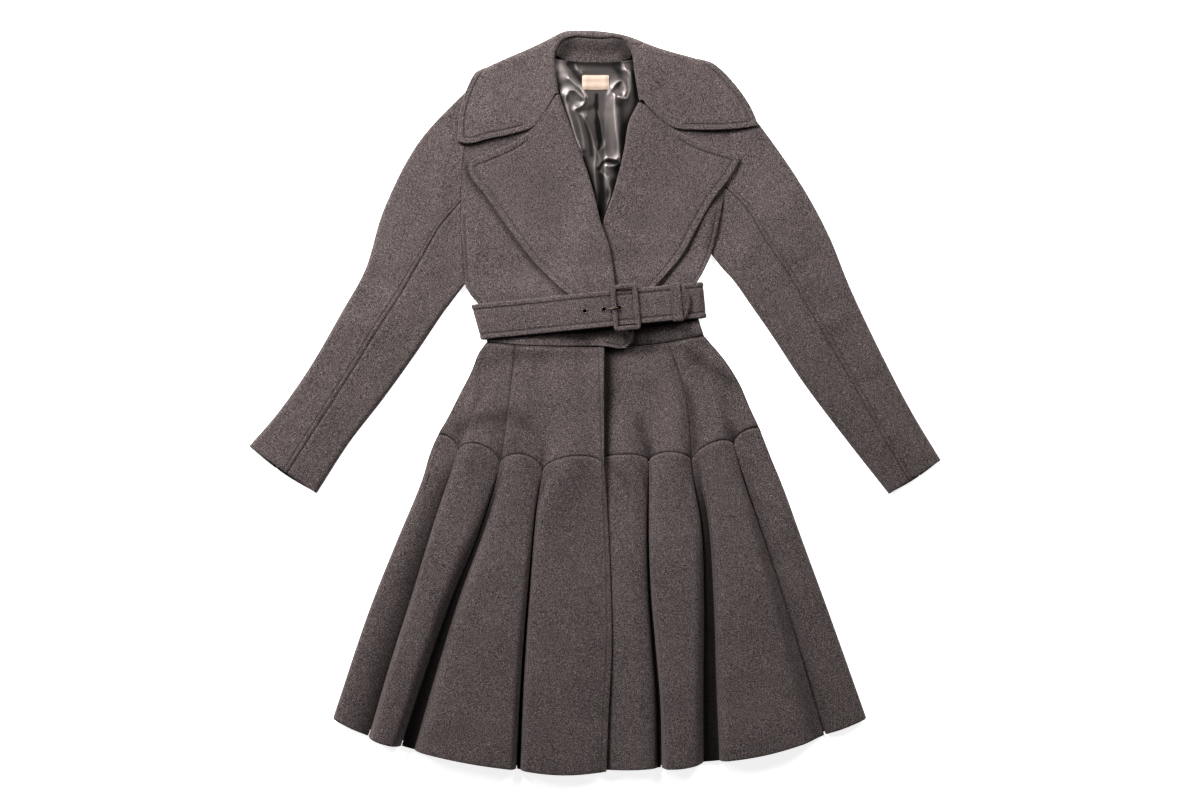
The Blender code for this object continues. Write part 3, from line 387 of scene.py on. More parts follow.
def wallMesh(name, grid, thickness, finish, edges, loop, paintedShading):
    gaps = runs(grid)
    relief, offStitch, offSeam = edgeRelief(gaps, edges)
    half, reach = thickness / 2, rim["bulge"] * thickness
    middle = grid if loop else pullIn(grid, reach + rim["hair"], edges)
    normal, way = normalsOf(middle, loop)
    normal = normal * way
    outer = middle + normal * (half + relief)[..., None]
    inner = middle - normal * half
    rows, columns = grid.shape[:2]
    under = rows * columns
    points = [outer.reshape(-1, 3), inner.reshape(-1, 3)]
    stitchLine = [offStitch.ravel(), np.full(under, noLine)]
    seamLine = [offSeam.ravel(), np.full(under, noLine)]
    faces = []

    def quad(a, b, c, d):
        faces.append((a, b, c, d) if way > 0 else (d, c, b, a))

    for i in range(rows if loop else rows - 1):
        k = (i + 1) % rows
        for j in range(columns - 1):
            a, b, c, d = i * columns + j, i * columns + j + 1, k * columns + j + 1, k * columns + j
            quad(a, b, c, d)
            quad(under + d, under + c, under + b, under + a)
    rims = [(ringOf(rows, columns), None, 1)]
    if loop:
        rims = [([(i, 0) for i in range(rows)], 1, -1),
                ([(i, columns - 1) for i in range(rows)], columns - 2, 1)]
    for ring, inward, turn in rims:
        i, j = np.array(ring).T
        if inward is None:
            iIn, jIn = np.clip(i, 1, rows - 2), np.clip(j, 1, columns - 2)
        else:
            iIn, jIn = i, np.full_like(j, inward)
        out = unit(middle[i, j] - middle[iIn, jIn])
        onSide = {"top": i == 0, "bottom": i == rows - 1, "left": j == 0, "right": j == columns - 1}
        closed = np.zeros(len(ring), bool)
        for side in () if loop else sideNames:
            kind = sideOf(edges, side)[0]
            if kind in ("flush", "pressed"):
                out[onSide[side]] *= rim["flush"]
            if kind == "seam":
                closed |= onSide[side]
        loops = [i * columns + j]
        for angle in rim["angles"]:
            level = math.sin(math.radians(angle)) * half + relief[i, j] * max(0, angle) / 90
            swell = np.where(closed & (angle <= 0), reach, math.cos(math.radians(angle)) * reach)
            loops.append(sum(len(part) for part in points) + np.arange(len(ring)))
            points.append(middle[i, j] + normal[i, j] * level[:, None] + out * swell[:, None])
            stitchLine.append(np.full(len(ring), noLine))
            seamLine.append(offSeam[i, j])
        loops.append(under + i * columns + j)
        for upper, lower in zip(loops, loops[1:]):
            for k in range(len(ring)):
                after = (k + 1) % len(ring)
                a, b, c, d = int(upper[k]), int(upper[after]), int(lower[after]), int(lower[k])
                if turn > 0:
                    quad(b, a, d, c)
                else:
                    quad(a, b, c, d)
    points = np.concatenate(points)
    points[:, 2] = np.maximum(points[:, 2], 0.0)
    # the painted shading rides on the outer points only
    shade = np.zeros(len(points))
    if paintedShading is not None:
        shade[:under] = paintedShading.ravel()
    marks = {"stitchLine": np.concatenate(stitchLine), "seamLine": np.concatenate(seamLine), "paintedShading": shade}
    return meshObject(name, points, faces, finish, marks), outer, normal, gaps


# Tubes: rings of points that stand one after the other
def circle(place, radius, sides, first, second):
    angles = [2 * math.pi * k / sides for k in range(sides)]
    return [place + radius * (math.cos(angle) * first + math.sin(angle) * second) for angle in angles]


def tubeFaces(rings, sides, base=0, closed=False):
    # the faces between the rings, and a cap at each end unless the last ring joins the first
    faces = []
    for i in range(rings if closed else rings - 1):
        a, b = base + i * sides, base + (i + 1) % rings * sides
        for k in range(sides):
            after = (k + 1) % sides
            faces.append((a + k, a + after, b + after, b + k))
    if not closed:
        faces.append(tuple(base + k for k in reversed(range(sides))))
        faces.append(tuple(base + (rings - 1) * sides + k for k in range(sides)))
    return faces


# Sewing thread: short stitches that lie in the grooves
thread = {"pitch": 4.4, "length": 3.3, "start": 0.12, "radius": 0.36, "sides": 6, "sunk": 0.12}
StitchRing = namedtuple("StitchRing", "share wide high")  # along a stitch
stitchRings = [StitchRing(0.0, 0.25, -0.5), StitchRing(0.12, 0.8, 0.0), StitchRing(0.5, 1.0, 0.25),
               StitchRing(0.88, 0.8, 0.0), StitchRing(1.0, 0.25, -0.5)]


def rowAt(at, run, rows):
    return np.array([np.interp(at, run, rows[:, axis]) for axis in range(3)])


def stitchPath(outer, normal, gaps, edges, side):
    # where a side's stitches lie and which way they face. They end where another stitch line crosses.
    _, stitch, span = sideOf(edges, side)
    others = [(gaps[other], sideOf(edges, other)[1]) for other in sideNames
              if other != side and sideOf(edges, other)[1]]
    fade = fadeAlong(gaps, side, span) + 0 * gaps[side]
    byRow = side in ("left", "right")
    places, facings = [], []
    for k in range(outer.shape[0 if byRow else 1]):
        pick = (k, slice(None)) if byRow else (slice(None), k)
        gap = gaps[side][pick]
        order = np.argsort(gap)
        if gap.max() < stitch or fade[pick].mean() < 0.5:
            continue
        if any(np.interp(stitch, gap[order], other[pick][order]) < need - 0.2 for other, need in others):
            continue
        places.append(rowAt(stitch, gap[order], outer[pick][order]))
        facings.append(rowAt(stitch, gap[order], normal[pick][order]))
    return np.array(places), np.array(facings)


def stitchRow(places, facings):
    # points and faces of the stitches along one path
    run = runOf(places)
    points, faces = [], []
    for k in range(int(run[-1] / thread["pitch"])):
        begin = (k + thread["start"]) * thread["pitch"]
        spine = []
        for ring in stitchRings:
            at = begin + ring.share * thread["length"]
            facing = unit(rowAt(at, run, facings))
            place = rowAt(at, run, places) + facing * (ring.high * thread["radius"] - thread["sunk"])
            spine.append((place, facing, thread["radius"] * ring.wide))
        if min(place[2] for place, _, _ in spine) < 2 * thread["radius"]:
            continue  # it would go under the surface
        faces += tubeFaces(len(spine), thread["sides"], len(points))
        along = unit(spine[-1][0] - spine[0][0])
        for place, facing, reach in spine:
            points += circle(place, reach, thread["sides"], unit(np.cross(along, facing)), facing)
    return points, faces


def sewThreads(name, outer, normal, gaps, edges):
    points, faces = [], []
    for side in sideNames:
        if sideOf(edges, side)[1]:
            places, facings = stitchPath(outer, normal, gaps, edges, side)
            if len(places) > 2:
                morePoints, moreFaces = stitchRow(places, facings)
                faces += [tuple(len(points) + k for k in face) for face in moreFaces]
                points += morePoints
    piece = meshObject(name + "_stitches", points, faces, threadFinish)
    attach(piece, "root")
    return piece


def clothPiece(name, grid, thickness=wool["wall"], finish=None, edges=None, restsOn=(),
               loop=False, paintedShading=None):
    # each point's painted light: above 0 painted shade darkens the cloth, below 0 a painted highlight makes
    # satin gleam
    edges = edges or {}
    finish = finish or woolFinish
    piece, outer, normal, gaps = wallMesh(name + "_cloth", grid, thickness, finish, edges, loop, paintedShading)
    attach(piece, "root")
    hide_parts(name)
    if any(sideOf(edges, side)[1] for side in sideNames):
        sewThreads(name, outer, normal, gaps, edges)
    width, length, area = cutSize(np.concatenate([grid, grid[:1]]) if loop else grid)
    return piece


# Finishes
class Wire:
    # a socket that can be used in sums
    def __init__(self, finish, socket):
        self.finish = finish
        self.socket = socket

    def math(self, operation, first, second=0.0):
        return self.finish.add("ShaderNodeMath", {"operation": operation}, {0: first, 1: second})

    def __add__(self, other):
        return self.math("ADD", self, other)

    def __radd__(self, other):
        return self.math("ADD", other, self)

    def __sub__(self, other):
        return self.math("SUBTRACT", self, other)

    def __rsub__(self, other):
        return self.math("SUBTRACT", other, self)

    def __mul__(self, other):
        return self.math("MULTIPLY", self, other)

    def __rmul__(self, other):
        return self.math("MULTIPLY", other, self)

    def __truediv__(self, other):
        return self.math("DIVIDE", self, other)

    def __rtruediv__(self, other):
        return self.math("DIVIDE", other, self)

    def __pow__(self, other):
        return self.math("POWER", self, other)

    def __rpow__(self, other):
        return self.math("POWER", other, self)

    def __abs__(self):
        return self.math("ABSOLUTE", self)


class Finish:
    def __init__(self, name):
        self.material = bpy.data.materials.new(name)
        self.material.use_nodes = True
        self.tree = self.material.node_tree
        self.shader = self.tree.nodes["Principled BSDF"]

    def feed(self, socket, value):
        if isinstance(value, Wire):
            self.tree.links.new(value.socket, socket)
        else:
            socket.default_value = value

    def add(self, kind, settings=None, inputs=None, output=0):
        node = self.tree.nodes.new(kind)
        for key, value in (settings or {}).items():
            setattr(node, key, value)
        for key, value in (inputs or {}).items():
            self.feed(node.inputs[key], value)
        return Wire(self, node.outputs[output])

    def place(self, scale, turn):
        spot = self.add("ShaderNodeTexCoord", output="Object")
        return self.add("ShaderNodeMapping", None, {"Vector": spot, "Scale": scale, "Rotation": turn})

    def grain(self, scale, detail=2.0, rough=0.5, stretch=(1, 1, 1), turn=(0, 0, 0)):
        return self.add("ShaderNodeTexNoise", None, {"Vector": self.place(stretch, turn), "Scale": scale,
                                                     "Detail": detail, "Roughness": rough})

    def between(self, value, low, high):
        return self.add("ShaderNodeMapRange", {"interpolation_type": "SMOOTHSTEP"},
                        {"Value": value, "From Min": low, "From Max": high})

    def mix(self, factor, first, second):
        return self.add("ShaderNodeMix", {"data_type": "RGBA"}, {0: factor, 6: first, 7: second}, output=2)

    def attribute(self, name):
        return self.add("ShaderNodeAttribute", {"attribute_name": name}, output="Fac")

    def bump(self, height, distance, strength):
        inputs = {"Height": height, "Distance": distance, "Strength": strength}
        return self.add("ShaderNodeBump", None, inputs)

    def use(self, **sockets):
        for key, value in sockets.items():
            self.feed(self.shader.inputs[key.replace("_", " ")], value)
        return self.material


woolLook = {
    "dark": (0.024, 0.019, 0.0188, 1), "mid": (0.108, 0.087, 0.0855, 1), "light": (0.31, 0.262, 0.256, 1),
    "paintedDark": (0.004, 0.003, 0.003, 1), "sheen": (0.75, 0.66, 0.64, 1),
    "fibre": 900.0, "fleck": 720.0, "clump": 430.0, "cloud": 14.0, "nap": 1300.0, "lay": 1.8, "fleckLay": 2.4,
    "flecked": 0.7, "groove": 0.5, "seam": 0.42, "paintedShading": 0.85, "lineWidth": 1.9, "bump": 0.0009,
}


def makeWool():
    look = woolLook
    finish = Finish("wool_melton")
    fibre = finish.grain(look["fibre"], 2.0, 0.6, (1, look["lay"], 1), (0, 0, 0.5))
    cross = finish.grain(look["fibre"], 2.0, 0.6, (look["lay"], 1, 1), (0, 0, -0.35))
    clump = finish.grain(look["clump"], 2.0, 0.6)
    cloud = finish.grain(look["cloud"])
    heather = 0.33 * fibre + 0.33 * cross + 0.34 * clump + 0.08 * (cloud - 0.5)
    ground = finish.mix(finish.between(heather, 0.42, 0.60), look["dark"], look["mid"])
    fleck = finish.grain(look["fleck"], 1.0, 0.5, (1, look["fleckLay"], 1), (0, 0, 1.1))
    colour = finish.mix(look["flecked"] * finish.between(fleck, 0.54, 0.68), ground, look["light"])
    # painted shade: the colour darkens along each stitch groove
    groove = 1 - finish.between(abs(finish.attribute("stitchLine")), 0.3, look["lineWidth"])
    seam = 1 - finish.between(finish.attribute("seamLine"), 0.2, look["lineWidth"])
    colour = finish.mix(look["groove"] * groove, colour, look["dark"])
    colour = finish.mix(look["seam"] * seam, colour, look["dark"])
    # painted shade: the colour goes towards near black in slots, under laps and beside edges above
    colour = finish.mix(look["paintedShading"] * finish.attribute("paintedShading"), colour, look["paintedDark"])
    nap = finish.grain(look["nap"], 3.0, 0.6)
    normal = finish.bump(nap + 0.8 * fibre + 0.8 * clump - 0.8 * groove, look["bump"], 0.6)
    return finish.use(Base_Color=colour, Roughness=0.95, Sheen_Weight=0.2, Sheen_Roughness=0.5,
                      Sheen_Tint=look["sheen"], Specular_IOR_Level=0.1, Normal=normal)


threadLook = {"dark": (0.05, 0.043, 0.04, 1), "light": (0.12, 0.105, 0.097, 1), "twist": 1500.0, "rough": 0.7}


def makeThread():
    finish = Finish("tonal_thread")
    twist = finish.between(finish.grain(threadLook["twist"], 1.0), 0.35, 0.65)
    colour = finish.mix(twist, threadLook["dark"], threadLook["light"])
    return finish.use(Base_Color=colour, Roughness=threadLook["rough"])


# gleam is the colour of painted highlights on the satin
satinLook = {
    "dark": (0.078, 0.068, 0.065, 1), "light": (0.125, 0.109, 0.106, 1), "gleam": (0.30, 0.262, 0.252, 1),
    "weave": 1600.0, "cloud": 30.0, "rough": 0.36, "metallic": 0.7, "paintedShading": 0.92, "bump": 0.0002,
}


def makeSatin():
    look = satinLook
    finish = Finish("lining_satin")
    weave = finish.grain(look["weave"], 1.0, 0.5, (1, 8, 1))
    cloud = finish.grain(look["cloud"])
    colour = finish.mix(finish.between(0.6 * weave + 0.4 * cloud, 0.35, 0.65), look["dark"], look["light"])
    # painted highlight where the attribute is below 0, painted shade where it is above 0
    paintedShading = finish.attribute("paintedShading")
    colour = finish.mix(finish.between(0 - paintedShading, 0, 1), colour, look["gleam"])
    colour = finish.mix(look["paintedShading"] * finish.between(paintedShading, 0, 1), colour, woolLook["paintedDark"])
    return finish.use(Base_Color=colour, Metallic=look["metallic"], Roughness=look["rough"] + 0.08 * weave,
                      Normal=finish.bump(weave, look["bump"], 0.25))


ribbonLook = {"dark": (0.39, 0.295, 0.235, 1), "light": (0.46, 0.355, 0.29, 1), "rib": 900.0, "rough": 0.55,
              "bump": 0.0003}


def makeRibbon():
    look = ribbonLook
    finish = Finish("label_ribbon")
    rib = finish.grain(look["rib"], 1.0, 0.5, (0.2, 3, 1))
    colour = finish.mix(finish.between(rib, 0.3, 0.7), look["dark"], look["light"])
    return finish.use(Base_Color=colour, Roughness=look["rough"], Normal=finish.bump(rib, look["bump"], 0.4))


metalLook = {"dark": (0.11, 0.09, 0.072, 1), "light": (0.27, 0.225, 0.18, 1), "wear": 260.0, "rough": 0.3,
             "bump": 0.0002}


def makeMetal():
    look = metalLook
    finish = Finish("dark_metal")
    wear = finish.grain(look["wear"], 3.0, 0.6)
    colour = finish.mix(finish.between(wear, 0.4, 0.7), look["dark"], look["light"])
    return finish.use(Base_Color=colour, Metallic=1.0, Roughness=look["rough"] + 0.15 * wear,
                      Normal=finish.bump(wear, look["bump"], 0.2))


woolFinish = makeWool()
threadFinish = makeThread()
satinFinish = makeSatin()
ribbonFinish = makeRibbon()
metalFinish = makeMetal()
print("finishes made")

# Sleeves: flattened tubes from the armhole to the cuff. seam is the share of the width at the front seam.
SleeveRow = namedtuple("SleeveRow", "outerX outerY innerX innerY seam depth bow")
sleeveRows = {
    "right": [
        SleeveRow(-173, 463, -188, 171, 0.59, 7.0, -12.0),
        SleeveRow(-253, 378, -196, 160, 0.58, 9.0, -7.0),
        SleeveRow(-304, 281, -207, 145, 0.55, 12.0, 0.0),
        SleeveRow(-331, 194, -223, 123, 0.49, 14.5, 0.0),
        SleeveRow(-366, 130, -260, 68, 0.475, 15.0, 0.0),
        SleeveRow(-411, 52, -307, 3, 0.485, 15.0, 0.0),
        SleeveRow(-457, -14, -355, -59, 0.53, 14.5, 0.0),
        SleeveRow(-500, -64, -402, -132, 0.57, 14.0, 0.0),
    ],
    "left": [
        SleeveRow(196, 456, 169, 215, 0.595, 7.0, 10.0),
        SleeveRow(254, 381, 185, 194, 0.54, 9.0, 5.0),
        SleeveRow(302, 310, 202, 175, 0.555, 12.0, 0.0),
        SleeveRow(339, 241, 225, 142, 0.535, 14.5, 0.0),
        SleeveRow(370, 165, 257, 96, 0.51, 15.0, 0.0),
        SleeveRow(411, 78, 302, 28, 0.49, 15.0, 0.0),
        SleeveRow(456, -9, 360, -49, 0.53, 14.5, 0.0),
        SleeveRow(501, -84, 426, -133, 0.62, 14.0, 0.0),
    ],
}
sleeve = {
    "crown": 2.5, "crownRun": 0.3, "backSeam": 0.42, "spill": {"right": 4.5, "left": 3.0}, "spillFrom": 0.9,
    "rows": 130, "half": 75.0, "coarse": 4.5, "turn": 9, "below": 10, "stitch": 6.5,
    "wave": Wave(70, 1.4, 3.0),
}
sleeveCreases = {
    "right": [Crease(-212, 318, -196, 240, -2.6, 12.0), Crease(-232, 330, -214, 250, 2.4, 13.0),
              Crease(-262, 250, -214, 170, 2.2, 14.0), Crease(-330, 190, -268, 150, -1.8, 12.0),
              Crease(-356, 120, -300, 96, 2.0, 12.0), Crease(-420, 20, -372, 10, -1.6, 10.0),
              Crease(-300, 300, -276, 240, 1.8, 16.0), Crease(-440, -20, -398, -50, 1.4, 11.0)],
    "left": [Crease(186, 300, 182, 215, -3.0, 12.0), Crease(250, 290, 214, 200, 2.2, 14.0),
             Crease(330, 220, 282, 176, -1.8, 12.0), Crease(372, 130, 320, 104, 2.0, 12.0),
             Crease(420, 40, 378, 26, -1.6, 10.0), Crease(296, 320, 268, 262, 1.8, 16.0),
             Crease(206, 232, 232, 150, 2.0, 11.0), Crease(452, -30, 410, -60, 1.4, 11.0)],
}


def sleevePlan(rows, down, across):
    row = rows(down)
    outer, inner, bow = row[..., 0:2], row[..., 2:4], row[..., 6]
    chord = inner - outer
    side = unit(np.stack([-chord[..., 1], chord[..., 0]], -1))
    toward = np.sign(bow) * np.sign(side[..., 0])
    across = np.asarray(across, float)
    return outer + across[..., None] * chord + (abs(bow) * toward * np.sin(np.pi * across))[..., None] * side


def sleeveGrid(side, edge):
    # from the front seam over the fold at edge 0 or 1 to the back seam underneath
    rows = table(sleeveRows[side])
    down = evenly(sleeve["rows"] + 1)[:, None]
    row = rows(down[:, 0])
    width = np.hypot(row[:, 2] - row[:, 0], row[:, 3] - row[:, 1])[:, None]
    seam, depth = row[:, 4:5], row[:, 5:6]
    bend = depth / 2 / width if edge == 0 else 1 - depth / 2 / width
    top = graded(sleeve["half"], sleeve["coarse"], start=True)[None, :]
    below = evenly(sleeve["below"])[None, :]
    turns = np.linspace(0, 180, sleeve["turn"] + 2)[None, 1:-1]
    across = np.concatenate([seam + (bend - seam) * top, bend + 0 * turns,
                             bend + (sleeve["backSeam"] - bend) * below], axis=1)
    turn = np.radians(np.concatenate([0 * top, turns, 180 + 0 * below], axis=1) + 0 * across)
    radius = (depth - wool["wall"]) / 2
    reach = radius * np.sin(turn) / width
    share = np.where(across < 0.5, across - reach, across + reach)
    spread = down + 0 * share
    crown = sleeve["crown"] * np.sin(np.pi * across) ** 2 * smooth(spread / sleeve["crownRun"])
    above = (1 + np.cos(turn)) / 2
    z = levels["back"] + above * (2 * radius + crown)
    begin = sleeve["spillFrom"]  # the under side spills past the cuff
    ahead = unit(sleevePlan(rows, 1 + 0 * spread, across) - sleevePlan(rows, begin + 0 * spread, across))
    nearCuff = np.maximum(0, spread - begin) / (1 - begin)
    spill = sleeve["spill"][side] * (1 - above) * np.sin(np.pi * across) * nearCuff
    xy = sleevePlan(rows, spread, share) + spill[..., None] * ahead
    x, y = xy[..., 0], xy[..., 1]
    z = z + smooth(above * 2 - 0.8) * (creased(x, y, sleeveCreases[side]) + uneven(x, y, sleeve["wave"]))
    return stack(xy, z)


def makeSleeves():
    for side in ("right", "left"):
        edges = {"bottom": ("free",), "top": ("flush",)}
        seamed = {**edges, "left": ("seam", sleeve["stitch"])}
        clothPiece("sleeve_top_" + side, sleeveGrid(side, 0), edges=seamed)
        clothPiece("sleeve_under_" + side, sleeveGrid(side, 1), edges=edges)
    print("sleeves made")


def armhole(side, inward):
    rows = table(sleeveRows[side])
    shares = np.array([0.02, 0.2, 0.4, 0.6, 0.8, 0.96])
    return [tuple(point) for point in sleevePlan(rows, 0 * shares, shares) + np.array([inward, 0])]


# The back lies on the surface and shows only at the hem
def panelGrid(plan, height, across, down):
    a, d = np.meshgrid(across, down)
    xy = plan(a, d)
    return stack(xy, height(xy[..., 0], xy[..., 1]))


def makeBack():
    left = armhole("right", 1.0) + sideRight
    right = armhole("left", -1.0) + sideLeft
    top = [left[0]] + shoulderRight + backNeck + shoulderLeft[::-1] + [right[0]]
    bodice = patch(curve(top), curve([left[-1], (0, 124), right[-1]]), curve(left), curve(right))
    band = patch(curve([(-161, 125), (0, 123), (147, 134)]), curve([(-155, 83), (0, 69), (161, 91)]),
                 curve([(-161, 125), (-155, 83)]), curve([(147, 134), (158, 97), (161, 91)]))
    yokeTop = [(-157, 82), (0, 68), (163, 90)]
    seam = [(-229, -54), (0, -96), (242, -44)]
    yoke = patch(curve(yokeTop), curve(seam), curve(yokeTop[:1] + skirtSideRight[1:] + seam[:1]),
                 curve(yokeTop[2:] + skirtSideLeft[1:] + seam[2:]))
    below = [(x, y - 1) for x, y in seam]
    hem = [meetsRight[0][-1]] + backHem + [meetsLeft[-1][-1]]
    lower = patch(curve(below), curve(hem), curve(below[:1] + meetsRight[0][1:]),
                  curve(below[2:] + meetsLeft[-1][1:]))
    panels = [("back_bodice", bodice, 49, 57), ("back_waistband", band, 49, 9),
              ("back_skirt_yoke", yoke, 49, 29)]
    for name, plan, columns, rows in panels:
        clothPiece(name, panelGrid(plan, backHeight, evenly(columns), evenly(rows)))
    clothPiece("back_lower_skirt", panelGrid(lower, backHeight, evenly(91), evenly(61)),
               edges={"bottom": ("free",)})
    print("back made")


# Fronts and lapels
Front = namedtuple("Front", "side neck roll rollEnd gorge edge collarEnd shoulder sideEdge waistTop way"
                            " height")
frontLook = {
    "stitch": 6.0, "stitchFrom": (0.5, 0.6), "width": 170.0, "coarse": 4.5, "rows": 75, "inset": 1.8,
    "sideTop": 310.0, "sideRun": 70.0,
}
lapelLook = {
    "stitch": 9.0, "stitchFrom": (0.4, 0.5), "length": 330.0, "width": 150.0, "coarse": 4.0,
    "wave": Wave(55, 0.5, 7.0),
    "bridge": 1.2, "bridgeFrom": 166.0, "bridgeRun": 18.0, "bridgeTo": 260.0, "bridgeFade": 40.0,
}
frontCreases = {
    "right": [Crease(-180, 300, -170, 150, 2.4, 13.0), Crease(-150, 260, -118, 160, 1.6, 16.0),
              Crease(-128, 240, -90, 170, -1.2, 9.0)],
    "left": [Crease(172, 290, 152, 150, 5.0, 12.0), Crease(128, 190, 118, 140, 1.6, 12.0),
             Crease(112, 205, 86, 160, -2.0, 9.0)],
}
# painted shadow beside the lapel edges and under the collar ends
edgeShade = {"height": 0.55, "width": 7.0, "collarDrop": 3.0}
rollTurn = np.radians(np.linspace(180, 12, 12))  # from a roll's foot over to the leaf
rollSize = {"wide": 3.3, "less": 1.1, "from": 0.2, "run": 0.4}


def shadeUnder(grid, edges):
    # painted shadow: a soft dark line beside an edge that lies above
    return shadeOf(grid, [Fold(edgeShade["height"], edgeShade["width"], edge) for edge in edges])


def rollRadius(share):
    past = (np.asarray(share) - rollSize["from"]) / rollSize["run"]
    return rollSize["wide"] - rollSize["less"] * smooth(past)


def lapelGrid(front):
    look = lapelLook
    roll, edge = curve(front.roll), curve(front.edge)
    inner = beside(roll, lambda share: front.way * (rollRadius(share) + wool["double"] / 2))
    plan = patch(curve([tuple(inner(0))] + front.gorge[1:]), curve([inner(1), edge(1)]), inner, edge)
    down = graded(look["length"], look["coarse"], start=True)
    across = graded(look["width"], look["coarse"], end=True)
    radius = rollRadius(down)[:, None]
    start = inner(down)
    out = unit(roll(down) - start)
    level = front.height(start[:, 0], start[:, 1])[:, None] + radius
    rollXy = start[:, None, :] + (radius * np.sin(rollTurn))[..., None] * out[:, None, :]
    rollPart = stack(rollXy, level + radius * np.cos(rollTurn))
    a, d = np.meshgrid(across, down)
    xy = plan(a, d)
    x, y = xy[..., 0], xy[..., 1]
    away = np.linalg.norm(xy - start[:, None, :], axis=2)
    bridge = look["bridge"] * smooth((y - look["bridgeFrom"]) / look["bridgeRun"])
    bridge = bridge * smooth((look["bridgeTo"] - y) / look["bridgeFade"])
    z = front.height(x, y) + leafRise(x) + spring(radius, away) + bridge + uneven(x, y, look["wave"])
    return np.concatenate([rollPart, stack(xy, z)], axis=1)


def frontGrid(front):
    inset = wool["double"] / 2 + frontLook["inset"]
    inner = beside(curve(front.neck + front.roll + [front.rollEnd]),
                   lambda share: front.way * (rollRadius(share - rollSize["from"]) + inset))
    hole = armhole(front.side, 0.0)
    outer = curve(hole + front.sideEdge)
    top = curve([hole[0]] + front.shoulder + [tuple(inner(0))])
    bottom = curve([tuple(outer(1)), front.waistTop, tuple(inner(1))])
    a, d = np.meshgrid(graded(frontLook["width"], frontLook["coarse"], start=True), evenly(frontLook["rows"]))
    xy = patch(top, bottom, outer, inner)(a, d)
    x, y = xy[..., 0], xy[..., 1]
    away = np.linalg.norm(xy - outer(d), axis=2)
    drop = sideDrop(away) * smooth((frontLook["sideTop"] - y) / frontLook["sideRun"])
    return stack(xy, front.height(x, y) - drop + creased(x, y, frontCreases[front.side]))


def makeFronts():
    fronts = [
        Front("right", neckRight, rollRight, (36, 121), gorgeRight, lapelEdgeRight, collarEndRight,
              shoulderRight, sideRight, (-50, 122), 1, rightFront),
        Front("left", neckLeft, rollLeft, (-25, 121), gorgeLeft, lapelEdgeLeft, collarEndLeft,
              shoulderLeft, sideLeft, (66, 123), -1, leftFront),
    ]
    under = [[(x, y - edgeShade["collarDrop"]) for x, y in front.collarEnd[3:]] for front in fronts]
    edges = {"left": ("flush", frontLook["stitch"], frontLook["stitchFrom"])}
    for front, collarEnd in zip(fronts, under):
        grid = frontGrid(front)
        clothPiece("front_bodice_" + front.side, grid, edges=edges,
                   paintedShading=shadeUnder(grid, [front.edge, collarEnd]))
    stitch = lapelLook["stitch"]
    edges = {"right": ("free", stitch), "top": ("gorge", stitch, lapelLook["stitchFrom"])}
    for front, collarEnd in zip(fronts, under):
        grid = lapelGrid(front)
        clothPiece("lapel_" + front.side, grid, wool["double"], edges=edges,
                   restsOn=["front_bodice_" + front.side], paintedShading=shadeUnder(grid, [collarEnd[:2]]))
    print("fronts made")


# Front waistband: the right one ends in a rounded tab that stands off a little
bandLook = {
    "stitch": 6.0, "stitchFrom": (0.8, 0.84), "tabLift": 3.0, "tabFrom": 5.0, "tabRun": 25.0, "tabTop": 112.0,
    "tabEase": 14.0, "creaseTop": 108.0, "creaseRun": 24.0,
    # painted shade on the left waistband beside the tab's end and under the belt
    "shade": [Fold(0.6, 7, [(58, 117), (61, 102), (60, 88), (51, 76)]),
              Fold(0.3, 24, [(66, 104), (104, 108)])],
}


def makeWaistbands():
    look = bandLook
    tab = curve([(51, 119), (56, 104), (55, 90), (46, 78)])
    band = patch(curve(waistTopRight), curve(waistRight), curve([(-161, 125), (-155, 88)]), tab)
    grid = panelGrid(band, rightFront, graded(205, 5, end=True), graded(40, 4, end=True))
    x, y = grid[..., 0], grid[..., 1]
    grid[..., 2] += creased(x, y, skirtCreases["right"]) * smooth((look["creaseTop"] - y) / look["creaseRun"])
    onTab = smooth((x - look["tabFrom"]) / look["tabRun"])
    grid[..., 2] += look["tabLift"] * onTab * smooth((look["tabTop"] - y) / look["tabEase"])
    edges = {"right": ("free", look["stitch"]), "bottom": ("gorge", look["stitch"], look["stitchFrom"])}
    clothPiece("waistband_right", grid, edges=edges)
    edge = curve([(147, 133), (152, 115), (158, 97)])
    band = patch(curve(waistTopLeft), curve(waistLeft), curve([(-28, 119), (-28, 80)]), edge)
    grid = panelGrid(band, leftFront, graded(190, 3), graded(38, 3))
    clothPiece("waistband_left", grid, paintedShading=shadeOf(grid, look["shade"]))
    print("waistbands made")


# Skirt: four yoke panels over eight gores. The gores' folds grow towards the hem.
# leftShade and rightShade: how strongly painted shade darkens the slot beside each side
Gore = namedtuple("Gore", "name rise sag crest crestTop leftRoll rightRoll leftSlot rightSlot rightLow"
                          " leftShade rightShade")
goresRight = [
    Gore("gore_right_4", 28.0, 1.0, 10.0, 5.0, 10.0, 34.0, 0.0, 0.0, 0.0, 0.0, 0.55),
    Gore("gore_right_3", 23.0, 2.0, 30.0, 8.0, 9.0, 16.0, 0.0, 0.0, 0.0, 0.5, 1.0),
    Gore("gore_right_2", 22.0, 4.0, 23.0, 7.0, 18.0, 9.0, 20.0, 0.0, 0.0, 1.0, 0.7),
    Gore("gore_right_1", 20.0, 6.0, 19.0, 8.0, 10.0, 60.0, 6.0, 0.0, 0.72, 0.8, 0.0),
]
goresLeft = [
    Gore("gore_left_1", 17.0, 2.0, 16.0, 6.0, 75.0, 18.0, 0.0, 6.0, 0.0, 0.7, 0.9),
    Gore("gore_left_2", 16.0, 3.0, 28.0, 8.0, 9.0, 16.0, 0.0, 0.0, 0.0, 0.7, 1.0),
    Gore("gore_left_3", 18.0, 8.0, 22.0, 7.0, 14.0, 34.0, 24.0, 0.0, 0.0, 1.0, 0.2),
    Gore("gore_left_4", 28.0, 1.0, 9.0, 5.0, 26.0, 16.0, 0.0, 0.0, 0.0, 0.2, 0.0),
]
